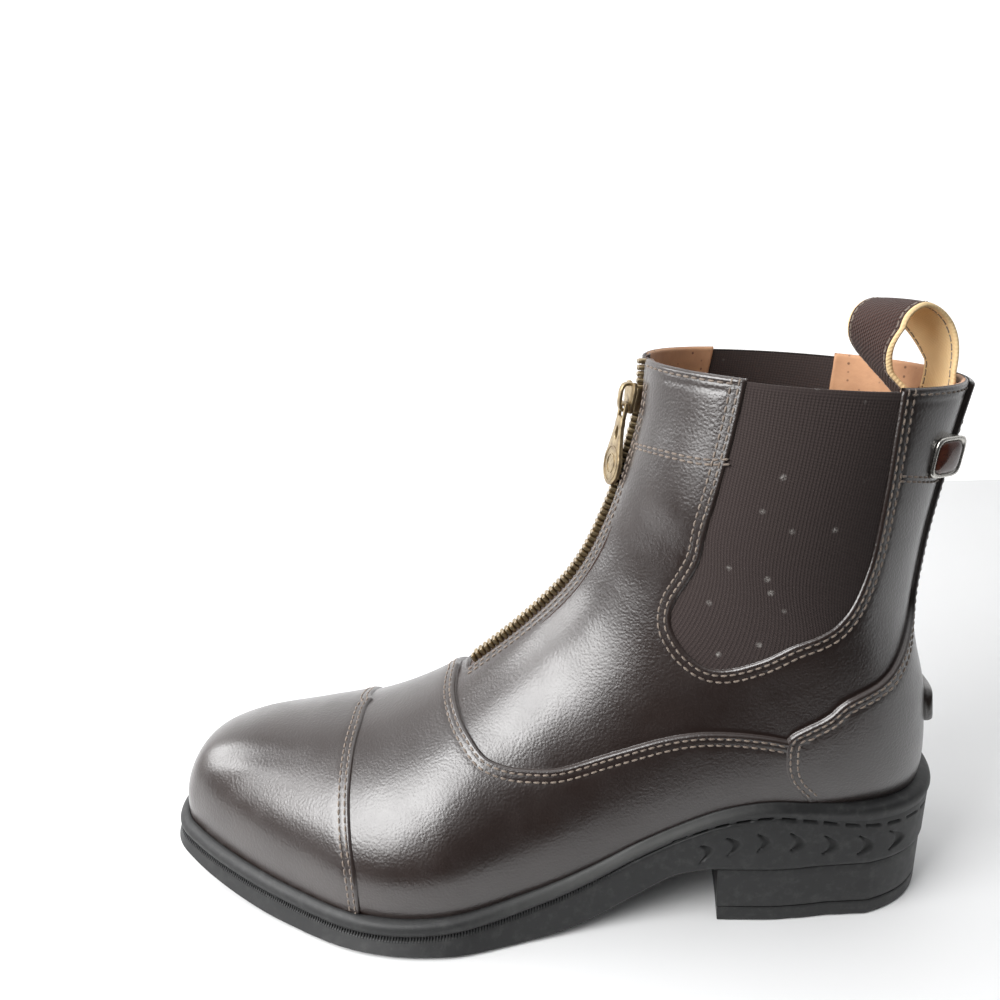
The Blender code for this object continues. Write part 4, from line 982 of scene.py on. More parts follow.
def make_upper():
    """The lasted upper with its lining, open at the collar, the zip and both gores."""
    outer_slot, inner_slot = slot_edge(1), slot_edge(-1)
    gore = gore_edge()
    sides = [
        (((BACK_ROW, 2.0), (13.0, 2.0), (COLLAR, 2.0)), False),
        (((COLLAR, 2.0), (COLLAR, 1.6), gore[-1]), True),
        (gore[::-1], True),
        ((gore[0], (COLLAR, 0.4), outer_slot[0]), True),
        (outer_slot, True),
        ((outer_slot[-1], inner_slot[-1]), True),
        (inner_slot[::-1], True),
        ((inner_slot[0], (COLLAR, -0.4), gore[0] * (1, -1)), True),
        (gore * (1, -1), True),
        ((gore[-1] * (1, -1), (COLLAR, -1.6), (COLLAR, -2.0)), True),
        (((COLLAR, -2.0), (13.0, -2.0), (BACK_ROW, -2.0)), False),
        (feather(FRONT_ROW, BACK_ROW, -1)[::-1], False),
        (feather(FRONT_ROW, BACK_ROW, 1), False),
    ]
    finishes = [FINISHES["leather"], FINISHES["lining"]]
    return cut_leather("upper_leather", front_pattern(), sides, layers()["upper"], 2.3 * MM, finishes,
                       EDGE_RINGS, slot="leather", replaces=("upper",))


def overlay(name, pattern, sides, layer, spacing=1.7 * MM, rings=EDGE_RINGS):
    """One leather overlay, which stands for the node of its name."""
    return cut_leather(f"{name}_leather", pattern, sides, layer, spacing, [FINISHES["leather"]], rings,
                       slot="leather", replaces=(name,))


def cap_lines():
    """The toe cap's seam on the outer side and its lower edge at the sole."""
    seam = smooth_line(CAP_SEAM, 6)
    foot = feather(FRONT_ROW, CAP_FOOT, 1)
    seam[-1] = foot[-1]
    return seam, foot


def make_toe_cap():
    seam, foot = cap_lines()
    sides = [(foot, False), (seam[::-1], True), (seam * (1, -1), True),
             (feather(FRONT_ROW, CAP_FOOT, -1)[::-1], False)]
    return overlay("toe_cap", front_pattern(), sides, layers()["cap"])


def make_vamp():
    """The vamp, tucked under the toe cap's seam and under the counter."""
    hidden = cap_lines()[0] - (CAP_TUCK, 0)
    seam = smooth_line(VAMP_SEAM, 6)
    foot = feather(hidden[-1][0], VAMP_FOOT, 1)
    hidden[-1] = foot[0]
    end = (seam[-1], (10.6, 1.30), foot[-1])
    sides = [(seam, True), (end, False), (foot[::-1], False), (hidden[::-1], False),
             (hidden * (1, -1), False), (foot * (1, -1), False), (mirrored(end), False),
             (mirrored(seam), True)]
    return overlay("vamp", front_pattern(), sides, layers()["vamp"])


def make_counter():
    """The counter with the backstay that runs up to the collar."""
    foot = feather(COUNTER_FOOT, BACK_ROW, 1)
    seam = smooth_line((tuple(foot[0]), *COUNTER_SEAM, *BACKSTAY_LINE), 6)
    sides = [(seam, True), ((seam[-1], (COLLAR, 1.999)), True), (((COLLAR, -1.999), mirrored(seam)[0]), True),
             (mirrored(seam), True), (feather(COUNTER_FOOT, BACK_ROW, -1)[:-1], False), (foot[::-1], False)]
    return overlay("counter", back_pattern(), sides, layers()["counter"])


def make_spur_rest():
    over = sizes().layer_gap + sizes().counter
    thick = Layer(over - 0.05 * MM, over + 2.6 * MM, 1.3 * MM)
    corners = smooth_line(SPUR_REST_LINE, 5)
    sides = [(corners, True), ((corners[-1], mirrored(corners)[0]), True), (mirrored(corners), True),
             ((corners[0] * (1, -1), corners[0]), True)]
    return overlay("spur_rest", back_pattern(), sides, thick, 1.0 * MM, SPUR_RINGS)


def make_overlays():
    """Toe cap, vamp, counter with its backstay, and the spur rest, each with folded edges."""
    return [make_toe_cap(), make_vamp(), make_counter(), make_spur_rest()]


def make_seams():
    """All stitch rows of the leather."""
    size = sizes()
    front, back = front_pattern(), back_pattern()
    layer = layers()
    near, far = size.seam_near, size.seam_far
    vamp = smooth_line(VAMP_SEAM, 8)[:-8]
    cap = smooth_line(CAP_SEAM, 8)
    gore = smooth_line(GORE_SEAM, 8)
    counter = smooth_line((*COUNTER_SEAM, *BACKSTAY_LINE), 8)
    lines = {"vamp": [], "cap": [], "gore": [], "counter": [], "patch": [], "zip": []}
    for side in (1, -1):
        for row in (near, far):
            lines["vamp"].append(seam_line(front, vamp * (1, side), side * row, layer["vamp"]))
            lines["cap"].append(seam_line(front, cap * (1, side), side * row, layer["cap"]))
            lines["gore"].append(seam_line(front, gore * (1, side), side * row, layer["upper"]))
            zip_row = -side * (row + 0.2 * MM)
            lines["zip"].append(seam_line(front, slot_edge(side)[2:], zip_row, layer["upper"]))
            lines["counter"].append(seam_line(back, counter[:-4] * (1, side), -side * row, layer["counter"]))
        for row in (-0.6 * MM, 0.9 * MM):
            for line in (FRONT_PATCH_LINE, BACK_PATCH_LINE):
                patch = smooth_line(line, 6) * (1, side)
                lines["patch"].append(seam_line(front, patch, row, layer["upper"], FAR_FROM_EDGE))
        for turns in ((0.12, 0.40, 0.66), (1.30, 1.50, 1.76)):
            top = smooth_line([(COLLAR, turn) for turn in turns], 6)
            lines["patch"].append(seam_line(front, top * (1, side), side * near, layer["upper"]))
    return [make_stitches(f"stitches_{name}", rows) for name, rows in lines.items()]


def sheet_faces(cell, turned):
    """Faces of a thick sheet over the chosen cells of a grid: front, back and the walls round them."""
    columns = cell.shape[1] + 1
    offset = (cell.shape[0] + 1) * columns
    faces = []
    for i, j in zip(*np.nonzero(cell)):
        a = i * columns + j
        quad = (a, a + 1, a + 1 + columns, a + columns)
        back = tuple(corner + offset for corner in quad)
        faces += [quad[::-1], back] if turned else [quad, back[::-1]]
        for other, pair in (((i, j - 1), (a, a + columns)), ((i, j + 1), (a + 1, a + 1 + columns)),
                            ((i - 1, j), (a, a + 1)), ((i + 1, j), (a + columns, a + 1 + columns))):
            if not (0 <= other[0] < cell.shape[0] and 0 <= other[1] < cell.shape[1]) or not cell[other]:
                faces.append((pair[0], pair[1], pair[1] + offset, pair[0] + offset))
    return faces


def gore_cells(s, v):
    """Which cells of the elastic's grid lie in the side window or just under its edge."""
    edge = gore_edge()
    lowest = edge[:, 0].argmin()
    front_edge, back_edge = edge[:lowest + 1][::-1], edge[lowest:]
    low = np.interp(s, front_edge[:, 0], front_edge[:, 1]) - GORE_MARGIN
    high = np.interp(s, back_edge[:, 0], back_edge[:, 1]) + GORE_MARGIN
    low, high = np.where(s < edge[lowest, 0], 0.66, low), np.where(s < edge[lowest, 0], 0.80, high)
    inside = (v[None] > low[:, None]) & (v[None] < high[:, None])
    return inside[:-1, :-1] & inside[1:, :-1] & inside[:-1, 1:] & inside[1:, 1:]


def make_gore(name, side):
    """Ribbed elastic with a plain hem at the collar, in one side window."""
    v = np.linspace(0.50, 1.40, GORE_RIBS * POINTS_PER_RIB + 1)
    s = np.concatenate([np.linspace(10.15, HEM_LINE, 66), np.linspace(HEM_LINE + 0.02, 15.95, 4)])
    rib = 0.5 + 0.5 * np.cos(np.arange(len(v)) * math.tau / POINTS_PER_RIB)
    hem = np.clip((s - HEM_LINE) / 0.02, 0, 1)[:, None]
    along = np.linalg.norm(np.diff(last(s, 0.95 * side), axis=0), axis=1)
    along = np.repeat(np.concatenate([[0], np.cumsum(along)]), len(v))
    front = -0.95 * MM + 0.26 * MM * rib[None] * (1 - hem) + 0.15 * MM * hem
    back = -1.55 * MM - 0.18 * MM * rib[None] * np.ones(front.shape)
    points = np.concatenate([skin(s[:, None], side * v[None], out).reshape(-1, 3) for out in (front, back)])
    fields = {"along": np.tile(along, 2), "rib": np.tile(rib, 2 * len(s))}
    faces = sheet_faces(gore_cells(s, v), side < 0)
    used = np.unique(np.concatenate([np.array(face) for face in faces]))
    renumber = np.zeros(len(points), int)
    renumber[used] = np.arange(len(used))
    return make_piece(f"{name}_elastic", points[used], [tuple(renumber[list(face)]) for face in faces],
                      [FINISHES["elastic"]], slot="elastic", replaces=(name,),
                      fields={key: values[used] for key, values in fields.items()})


def make_gores():
    """Ribbed elastic in both side windows."""
    return [make_gore("gore_outer", 1), make_gore("gore_inner", -1)]


def ridge_frame(s):
    """A point of the ridge, with its outward, sideways and upward directions in the middle plane."""
    point = last(s, 0.0)
    rise = last(s + 0.01, 0.0) - last(s - 0.01, 0.0)
    rise[1] = 0
    rise /= np.linalg.norm(rise)
    side = np.array([0.0, 1.0, 0.0])
    return point, np.cross(side, rise), side, rise


def zip_gap(s):
    """Half the opening between the two rows of teeth."""
    return np.interp(s, (SLIDER_PLACE + 0.15, COLLAR), (0.0, 2.3 * MM))


# The zip tape's section, half: across from the middle and out from the last, in millimetres
TAPE_SECTION = ((0.25, -1.35), (1.2, -1.30), (2.4, -1.45), (3.6, -1.95), (4.8, -2.45), (6.5, -2.72),
                (11.0, -2.78), (11.0, -3.35), (6.5, -3.30), (4.8, -3.05), (3.6, -2.55), (2.4, -2.05),
                (1.2, -1.90), (0.25, -1.90))
# One tooth: across from its tip to its root on the tape and half its width along the zip, in millimetres
TOOTH_OUTLINE = ((-0.55, 0.42), (-0.25, 0.62), (0.55, 0.50), (1.10, 0.66), (2.55, 0.66), (2.80, 0.45))
TOOTH_MIDDLE = 1.1
# A tooth's levels: out from the last in millimetres, and its size there
TOOTH_LEVELS = ((-1.45, 0.80), (-0.80, 1.0), (0.85, 1.0), (1.20, 0.72))


def make_zip():
    """Zip tape with its woven rows, and two rows of single teeth that part above the slider."""
    return [make_zip_tape(), make_zip_teeth()]


def make_zip_tape():
    rows = np.linspace(ZIP_BOTTOM - 0.25, COLLAR - 0.02, 110)
    frames = [ridge_frame(s) for s in rows]
    steps = [np.linalg.norm(b[0] - a[0]) for a, b in zip(frames, frames[1:])]
    along = np.concatenate([[0], np.cumsum(steps)])
    parts = []
    for sign in (1, -1):
        points = []
        for (point, out, side, _), s in zip(frames, rows):
            for y, height in TAPE_SECTION:
                shift = zip_gap(s) * max(0.0, 1 - y / 6)
                points.append(point + side * sign * (y * MM + shift) + out * height * MM)
        parts.append((points, tube_faces(len(rows), len(TAPE_SECTION))))
    fields = {"along": np.tile(np.repeat(along, len(TAPE_SECTION)), 2),
              "across": np.tile([y * MM for y, _ in TAPE_SECTION], 2 * len(rows))}
    return outward_faces(make_piece("zip_tape_woven", *gather(parts), [FINISHES["tape"]], slot="tape",
                                    replaces=("zip_tape",), fields=fields, flat_angle=60))


def make_zip_teeth():
    pitch = sizes().tooth_pitch
    fine = np.linspace(ZIP_BOTTOM + 0.10, COLLAR - 0.05, 900)
    length = np.concatenate([[0], np.cumsum(np.linalg.norm(np.diff(last(fine, 0.0), axis=0), axis=1))])
    outline = [*TOOTH_OUTLINE, *((y, -w) for y, w in TOOTH_OUTLINE[::-1])]
    parts = []
    for sign in (1, -1):
        at = np.arange(0 if sign > 0 else pitch / 2, length[-1], pitch)
        for s in np.interp(at, length, fine):
            point, out, side, rise = ridge_frame(float(s))
            gap = float(zip_gap(s))
            points = []
            for height, shrink in TOOTH_LEVELS:
                for y, w in outline:
                    across = (TOOTH_MIDDLE + (y - TOOTH_MIDDLE) * (0.9 + 0.1 * shrink)) * MM + gap
                    points.append(point + out * height * MM + side * sign * across + rise * w * shrink * MM)
            parts.append((points, tube_faces(len(TOOTH_LEVELS), len(outline))))
    return outward_faces(make_piece("zip_teeth_row", *gather(parts), [FINISHES["brass"]], slot="brass",
                                    replaces=("zip_teeth",), flat_angle=50))


def slider_frame():
    point, out, side, rise = ridge_frame(SLIDER_PLACE)
    turned_out = out * math.cos(SLIDER_TURN) + side * math.sin(SLIDER_TURN)
    turned_side = side * math.cos(SLIDER_TURN) - out * math.sin(SLIDER_TURN)
    lean = SLIDER_WIDTH / 2 * math.sin(SLIDER_TURN)
    return point + out * (CHAIN_PROUD + GAP + lean), turned_out, turned_side, rise


def tab_frame():
    """The pull tab's frame at its hinge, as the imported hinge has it."""
    origin, out, side, rise = slider_frame()
    hinge = origin + out * (SLIDER_THICK + (CROWN_HEIGHT - CROWN_THICK) / 2) - rise * SLIDER_LENGTH * 0.22
    clear = 0.0026
    places = np.linspace(8, SLIDER_PLACE - 0.5, 400)
    points = np.array([ridge_frame(s)[0] + ridge_frame(s)[1] * clear for s in places])
    reach = np.linalg.norm(points - hinge, axis=1)
    end = points[np.argmin(abs(reach - TAB_LENGTH))]
    down = end - hinge
    down -= side * np.dot(down, side)
    down /= np.linalg.norm(down)
    return hinge, np.cross(side, -down), side, -down


def tube_faces(levels, count, joined=False):
    """Faces of a solid whose points come in levels of equally many, its ends closed or joined to a ring."""
    total = levels * count
    faces = []
    for row in range(0, total if joined else total - count, count):
        after = (row + count) % total
        faces += [(row + k, row + (k + 1) % count, after + (k + 1) % count, after + k) for k in range(count)]
    return faces if joined else faces + [tuple(range(count))[::-1], tuple(range(total - count, total))]


def sweep(path, section, across):
    """Points and faces of a bar along a path: a section of (along across, along out) pairs at each point."""
    path = np.asarray(path, float)
    way = np.gradient(path, axis=0)
    way /= np.linalg.norm(way, axis=1, keepdims=True)
    across = np.asarray(across, float)
    out = np.cross(way, across)
    out /= np.linalg.norm(out, axis=1, keepdims=True)
    points = [place + across * a + direction * b for place, direction in zip(path, out) for a, b in section]
    return points, tube_faces(len(path), len(section))


def rounded(width, thick, corner, steps=3):
    """A rectangle section with round corners."""
    pairs = []
    for sx, sy, start in ((1, 1, 0), (-1, 1, 90), (-1, -1, 180), (1, -1, 270)):
        for step in range(steps + 1):
            turn = math.radians(start + 90 * step / steps)
            pairs.append((sx * (width / 2 - corner) + corner * math.cos(turn),
                          sy * (thick / 2 - corner) + corner * math.sin(turn)))
    return pairs


def plate(outline, frame_of, low, high, edge, hole=None):
    """A flat plate with round edges from an outline in (across, along), with a hole of as many points."""
    outline = np.asarray(outline, float)
    way = np.roll(outline, -1, axis=0) - np.roll(outline, 1, axis=0)
    left = np.column_stack([-way[:, 1], way[:, 0]])
    left /= np.linalg.norm(left, axis=1, keepdims=True)
    if ((outline - outline.mean(axis=0)) * left).sum() > 0:
        left = -left
    origin, out, side, up = frame_of
    levels = [(low, edge), (low + edge * 0.3, edge * 0.3), (low + edge, 0.0),
              (high - edge, 0.0), (high - edge * 0.3, edge * 0.3), (high, edge)]
    rings = [(outline + left * inset, level) for level, inset in levels]
    if hole is not None:
        hole = np.asarray(hole, float)
        away = hole - hole.mean(axis=0)
        away /= np.linalg.norm(away, axis=1, keepdims=True)
        rings += [(hole + away * edge * 0.6, high), (hole, high - edge * 0.7), (hole, low + edge * 0.7),
                  (hole + away * edge * 0.6, low)]
    points = [origin + side * a + up * b + out * level for ring, level in rings for a, b in ring]
    return points, tube_faces(len(rings), len(outline), joined=hole is not None)


def gather(parts):
    """Several point and face lists as one."""
    points, faces = [], []
    for some_points, some_faces in parts:
        start = len(points)
        points.extend(some_points)
        faces.extend(tuple(start + corner for corner in face) for face in some_faces)
    return points, faces


def outward_faces(made):
    """Faces of closed parts turned outward."""
    work = bmesh.new()
    work.from_mesh(made.data)
    bmesh.ops.recalc_face_normals(work, faces=work.faces)
    work.to_mesh(made.data)
    work.free()
    return made


def make_slider():
    """The slider: upper plate with a nose, side flanges and an arched crown."""
    frame_of = slider_frame()
    origin, out, side, rise = frame_of
    half_w, half_l = SLIDER_WIDTH / 2, SLIDER_LENGTH / 2
    shape = smooth_line(((0, -1.0), (0.45, -0.97), (0.66, -0.85), (0.78, -0.5), (0.98, 0.25), (0.98, 0.65),
                         (0.80, 0.93), (0.50, 1.0), (0.22, 0.90), (0, 0.82)), 4)
    right = shape * (half_w, half_l)
    outline = np.concatenate([right, right[1:-1][::-1] * (-1, 1)])
    parts = [plate(outline, frame_of, 0.0, SLIDER_THICK, 0.35 * MM)]
    flange = rounded(1.0 * MM, 2.0 * MM, 0.35 * MM)
    for sign in (1, -1):
        path = [origin + side * sign * half_w * wide * 0.93 - out * 0.7 * MM + rise * half_l * up
                for up, wide in ((-0.75, 0.72), (-0.2, 0.86), (0.3, 0.97), (0.75, 0.95))]
        parts.append(sweep(path, flange, side))
    top = SLIDER_THICK + CROWN_HEIGHT
    reach = SLIDER_LENGTH * 0.36 + CROWN_THICK / 2
    arch = smooth_line(((-1.0, 0.1), (-1.02, 0.45), (-0.92, 0.80), (-0.55, 0.97), (0.0, 1.0), (0.55, 0.97),
                        (0.92, 0.80), (1.02, 0.45), (1.0, 0.1)), 4)
    path = [origin + rise * reach * a + out * (top - CROWN_THICK / 2) * b for a, b in arch]
    parts.append(sweep(path, rounded(CROWN_WIDTH, CROWN_THICK, 0.35 * MM), side))
    return outward_faces(make_piece("zip_slider_body", *gather(parts), [FINISHES["brass"]], slot="brass",
                                    replaces=("zip_slider",), flat_angle=42))


def make_pull_tab():
    """The pull tab: an eye round the crown, a neck with a slot and a disc with a raised ring."""
    hinge, out, side, up = tab_frame()
    frame_of = (hinge, out, side, up)
    eye_half = CROWN_WIDTH / 2 + GAP + 0.4 * MM
    arm = 1.1 * MM
    reach = eye_half + arm / 2
    eye_end = -5.2 * MM
    round_bar = rounded(1.3 * MM, 1.3 * MM, 0.62 * MM)
    parts = [sweep([hinge + side * y for y in np.linspace(-reach, reach, 6)], round_bar, up)]
    for sign in (1, -1):
        path = [hinge + side * sign * reach * wide + up * along for along, wide in
                ((0.65 * MM, 1.0), (-1.5 * MM, 1.02), (-3.5 * MM, 1.0), (eye_end - 0.4 * MM, 0.86))]
        parts.append(sweep(path, rounded(arm, TAB_THICK * 0.95, 0.4 * MM), side))
    disc_middle = -(TAB_LENGTH - TAB_DISC / 2)
    right = [(0, eye_end + 1.2 * MM), (reach * 0.9, eye_end + 0.9 * MM), (TAB_NECK / 2, eye_end - 1.2 * MM),
             (TAB_NECK * 0.50, eye_end - 3.2 * MM)]
    for turn in np.linspace(math.radians(58), math.radians(180), 14):
        right.append((math.sin(turn) * TAB_DISC / 2, disc_middle + math.cos(turn) * TAB_DISC / 2 * 1.08))
    right = smooth_line(right, 2)
    outline = np.concatenate([right, right[1:-1][::-1] * (-1, 1)])
    middle = np.array((0.0, (eye_end + 1.2 * MM + disc_middle - TAB_DISC / 2) / 2 + 4.0 * MM))
    ring = outline - middle
    direction = ring / np.linalg.norm(ring, axis=1, keepdims=True)
    slot_middle, slot_half = -TAB_LENGTH * 0.36, TAB_LENGTH * 0.085
    turns = np.arctan2(direction[:, 1], direction[:, 0])
    hole = np.column_stack([np.cos(turns) * TAB_NECK * 0.19, slot_middle + np.sin(turns) * slot_half])
    parts.append(plate(outline, frame_of, -TAB_THICK / 2, TAB_THICK / 2, 0.3 * MM, hole))
    for radius, width in ((0.40, 0.55), (0.22, 0.4)):
        middle_of = hinge + up * disc_middle + out * TAB_THICK / 2
        path = [middle_of + (side * math.sin(turn) + up * math.cos(turn) * 1.08) * TAB_DISC * radius
                for turn in np.linspace(0, math.tau, TAB_RING_STEPS + 1)]
        way = np.gradient(np.array(path), axis=0)
        way /= np.linalg.norm(way, axis=1, keepdims=True)
        points = [place + np.cross(forward, out) * a * MM * 0.5 + out * b * MM
                  for place, forward in zip(path[:-1], way[:-1])
                  for a, b in ((width, -0.2), (width * 0.5, 0.18), (-width * 0.5, 0.18), (-width, -0.2))]
        parts.append((points, tube_faces(TAB_RING_STEPS, 4, joined=True)))
    return outward_faces(make_piece("pull_tab_plate", *gather(parts), [FINISHES["brass"]], slot="brass",
                                    body="pull_tab", replaces=("pull_tab",), flat_angle=42))


def loop_turn(rise):
    return np.interp(rise, LOOP_TURN_HEIGHTS, (0, LOOP_TURN))


def loop_point(collar_back, forward, across, rise):
    """A point of the pull loop, which turns to the outer side as it rises."""
    turn, ahead = loop_turn(rise), forward - LOOP_MIDDLE
    return (collar_back[0] + LOOP_MIDDLE + ahead * math.cos(turn) - across * math.sin(turn),
            ahead * math.sin(turn) + across * math.cos(turn), collar_back[2] + rise)


def loop_across(line):
    turn = loop_turn(line[:, 1])
    return np.column_stack([-np.sin(turn), np.cos(turn), np.zeros(len(line))])


def make_pull_loop():
    """The webbing loop: brown outside, tan inside, with tan edges and a dark row of stitches beside them."""
    size = sizes()
    collar_back = last(COLLAR, 2.0)
    line = smooth_line(LOOP_PATH, 12)
    way = np.gradient(line, axis=0)
    way /= np.linalg.norm(way, axis=1, keepdims=True)
    left = np.column_stack([-way[:, 1], way[:, 0]])
    along = np.concatenate([[0], np.cumsum(np.linalg.norm(np.diff(line, axis=0), axis=1))])
    half, half_thick = size.loop_width / 2, size.loop_thick / 2
    columns = np.linspace(-1, 1, 33)
    section = [*((c, 1.0) for c in columns), (1.035, 0.45), (1.035, -0.45),
               *((c, -1.0) for c in columns[::-1]), (-1.035, -0.45), (-1.035, 0.45)]
    points, fields = [], {"along": [], "across": []}
    for (forward, rise), normal, length in zip(line, left, along):
        for across, level in section:
            sink = 0.25 * MM * math.exp(-((abs(across) - 0.84) / 0.035)**2) * np.sign(level)
            cup = 0.5 * MM * (1 - across**2)
            lift = level * half_thick * (1 if abs(across) < 0.97 else 0.8) - sink * (abs(level) == 1) + cup
            points.append(loop_point(collar_back, forward + normal[0] * lift, across * half,
                                     rise + normal[1] * lift))
            fields["along"].append(length)
            fields["across"].append(across * half)
    faces = tube_faces(len(line), len(section))
    brown = range(1, len(columns) - 2)
    marks = [0 if corner in brown else 1 for corner in range(len(section))] * (len(line) - 1) + [1, 1]
    loop = make_piece("pull_loop_webbing", points, faces, [FINISHES["web_outer"], FINISHES["web_inner"]],
                      slot="webbing", replaces=("pull_loop",), face_finish=marks, fields=fields,
                      flat_angle=70)
    rows = []
    for across in (-0.84, 0.84):
        for level in (1, -1):
            lift = level * half_thick + 0.5 * MM * (1 - across**2) - level * 0.1 * MM
            lifted = line + left * lift
            path = np.array([loop_point(collar_back, forward, across * half, rise)
                             for forward, rise in lifted])
            rows.append((path, np.cross(np.gradient(path, axis=0), loop_across(line)) * -level))
    return [loop, make_stitches("stitches_loop", rows)]


def make_badge():
    """The badge: a square nickel rim with cut corners and a plain enamel dome."""
    s, v = BADGE_PLACE
    point, out = last(s, v), outward(s, v)
    up = np.array([0.0, 0.0, 1.0])
    across = np.cross(up, out)
    across /= np.linalg.norm(across)
    up = np.cross(out, across)
    seat = (point, out, across)
    turned_out = out * math.cos(BADGE_TURN) + across * math.sin(BADGE_TURN)
    turned_across = across * math.cos(BADGE_TURN) - out * math.sin(BADGE_TURN)
    plane = (point + out * BADGE_STAND, turned_out, turned_across)
    half = sizes().badge / 2
    count = 48
    turns = np.arange(count) * math.tau / count + math.pi / count

    def ring(level, size, power, frame_of=plane):
        round_off = (np.abs(np.cos(turns))**power + np.abs(np.sin(turns))**power)**(-1 / power)
        flat = np.column_stack([np.cos(turns), np.sin(turns)]) * (half * size * round_off)[:, None]
        middle, outer, aside = frame_of
        return [middle + outer * level * MM + aside * a + up * b for a, b in flat]

    rim = ring(-0.6, 0.93, 5, seat)
    rim += [place for row in BADGE_RIM for place in ring(*row)]
    dome = [place for row in BADGE_DOME for place in ring(*row)]
    made = []
    for name, points, finish, replaced in (("badge_rim", rim, "nickel", ("badge",)),
                                           ("badge_dome", dome, "enamel", ())):
        made.append(make_piece(name, points, tube_faces(len(points) // count, count), [FINISHES[finish]],
                               slot="badge_metal", replaces=replaced, flat_angle=50))
    return made


# Sole and heel


def foot_outline(count_heel=420, count_front=520):
    """The upper's lower edge seen from above, tip, outer side, heel, inner side, closer at the heel."""
    outer, inner = feather(FRONT_ROW, BACK_ROW, 1, 400), feather(FRONT_ROW, BACK_ROW, -1, 400)
    loop = np.concatenate([last(outer[:, 0], outer[:, 1]), last(inner[:, 0], inner[:, 1])[1:-1][::-1]])
    loop = np.concatenate([loop, loop[:1]])
    plan = np.linalg.norm(np.diff(loop[:, :2], axis=0), axis=1)
    near_heel = (loop[:-1, 0] + loop[1:, 0]) / 2 < 0.048
    weight = plan * np.where(near_heel, count_heel / plan[near_heel].sum(),
                             count_front / plan[~near_heel].sum())
    at = np.concatenate([[0], np.cumsum(weight)])
    even = np.linspace(0, at[-1], count_heel + count_front + 1)[:-1]
    return np.column_stack([np.interp(even, at, loop[:, k]) for k in range(2)])


def outline_away(loop):
    along = np.roll(loop, -1, axis=0) - np.roll(loop, 1, axis=0)
    for _ in range(3):
        along = (np.roll(along, 1, axis=0) + along * 2 + np.roll(along, -1, axis=0)) / 4
    away = np.column_stack([along[:, 1], -along[:, 0]])
    if ((loop - loop.mean(axis=0)) * away).sum() < 0:
        away = -away
    return away / np.linalg.norm(away, axis=1, keepdims=True)


def side_marks(x, depth, length):
    """How deep the heel part of the sole's side is cut, from 0 to 1: curved marks and a dashed groove."""
    cut = np.zeros(x.shape)
    for mark_x, mark_depth in SIDE_MARKS:
        up = (mark_depth - depth) / MARK_HALF
        width = MARK_WIDTH * (1.0 - 0.75 * np.clip(up**2, 0, 1))
        bend = mark_x - MARK_BEND * (0.5 - up**2)
        cut = np.maximum(cut, np.exp(-((x - bend) / width)**4) * (np.abs(up) < 1.05))
    groove = np.interp(x, *zip(*DASH_LINE))
    dash = (np.sin(length / DASH_PITCH * math.tau) > -0.55) & (x > DASH_LINE[0][0]) & (x < DASH_LINE[-1][0])
    return np.maximum(cut, dash * np.exp(-((depth - groove) / DASH_WIDTH)**4))


def side_profile(key):
    """Fine rows of the sole's side through its key levels: a smooth curve above, straight below."""
    at = np.concatenate([index + np.linspace(0, 1, count, endpoint=False)
                         for index, count in enumerate(SIDE_STEPS)] + [[len(SIDE_STEPS)]])
    rows = np.concatenate([[2 * key[0] - key[1]], key, [2 * key[-1] - key[-2]]])
    low = np.minimum(at.astype(int), len(key) - 2)
    t = (at - low)[:, None, None]
    profile = spline(rows[low], rows[low + 1], rows[low + 2], rows[low + 3], t)
    straight = at >= STRAIGHT_FROM
    profile[straight] = (rows[low + 1] + (rows[low + 2] - rows[low + 1]) * t)[straight]
    return profile


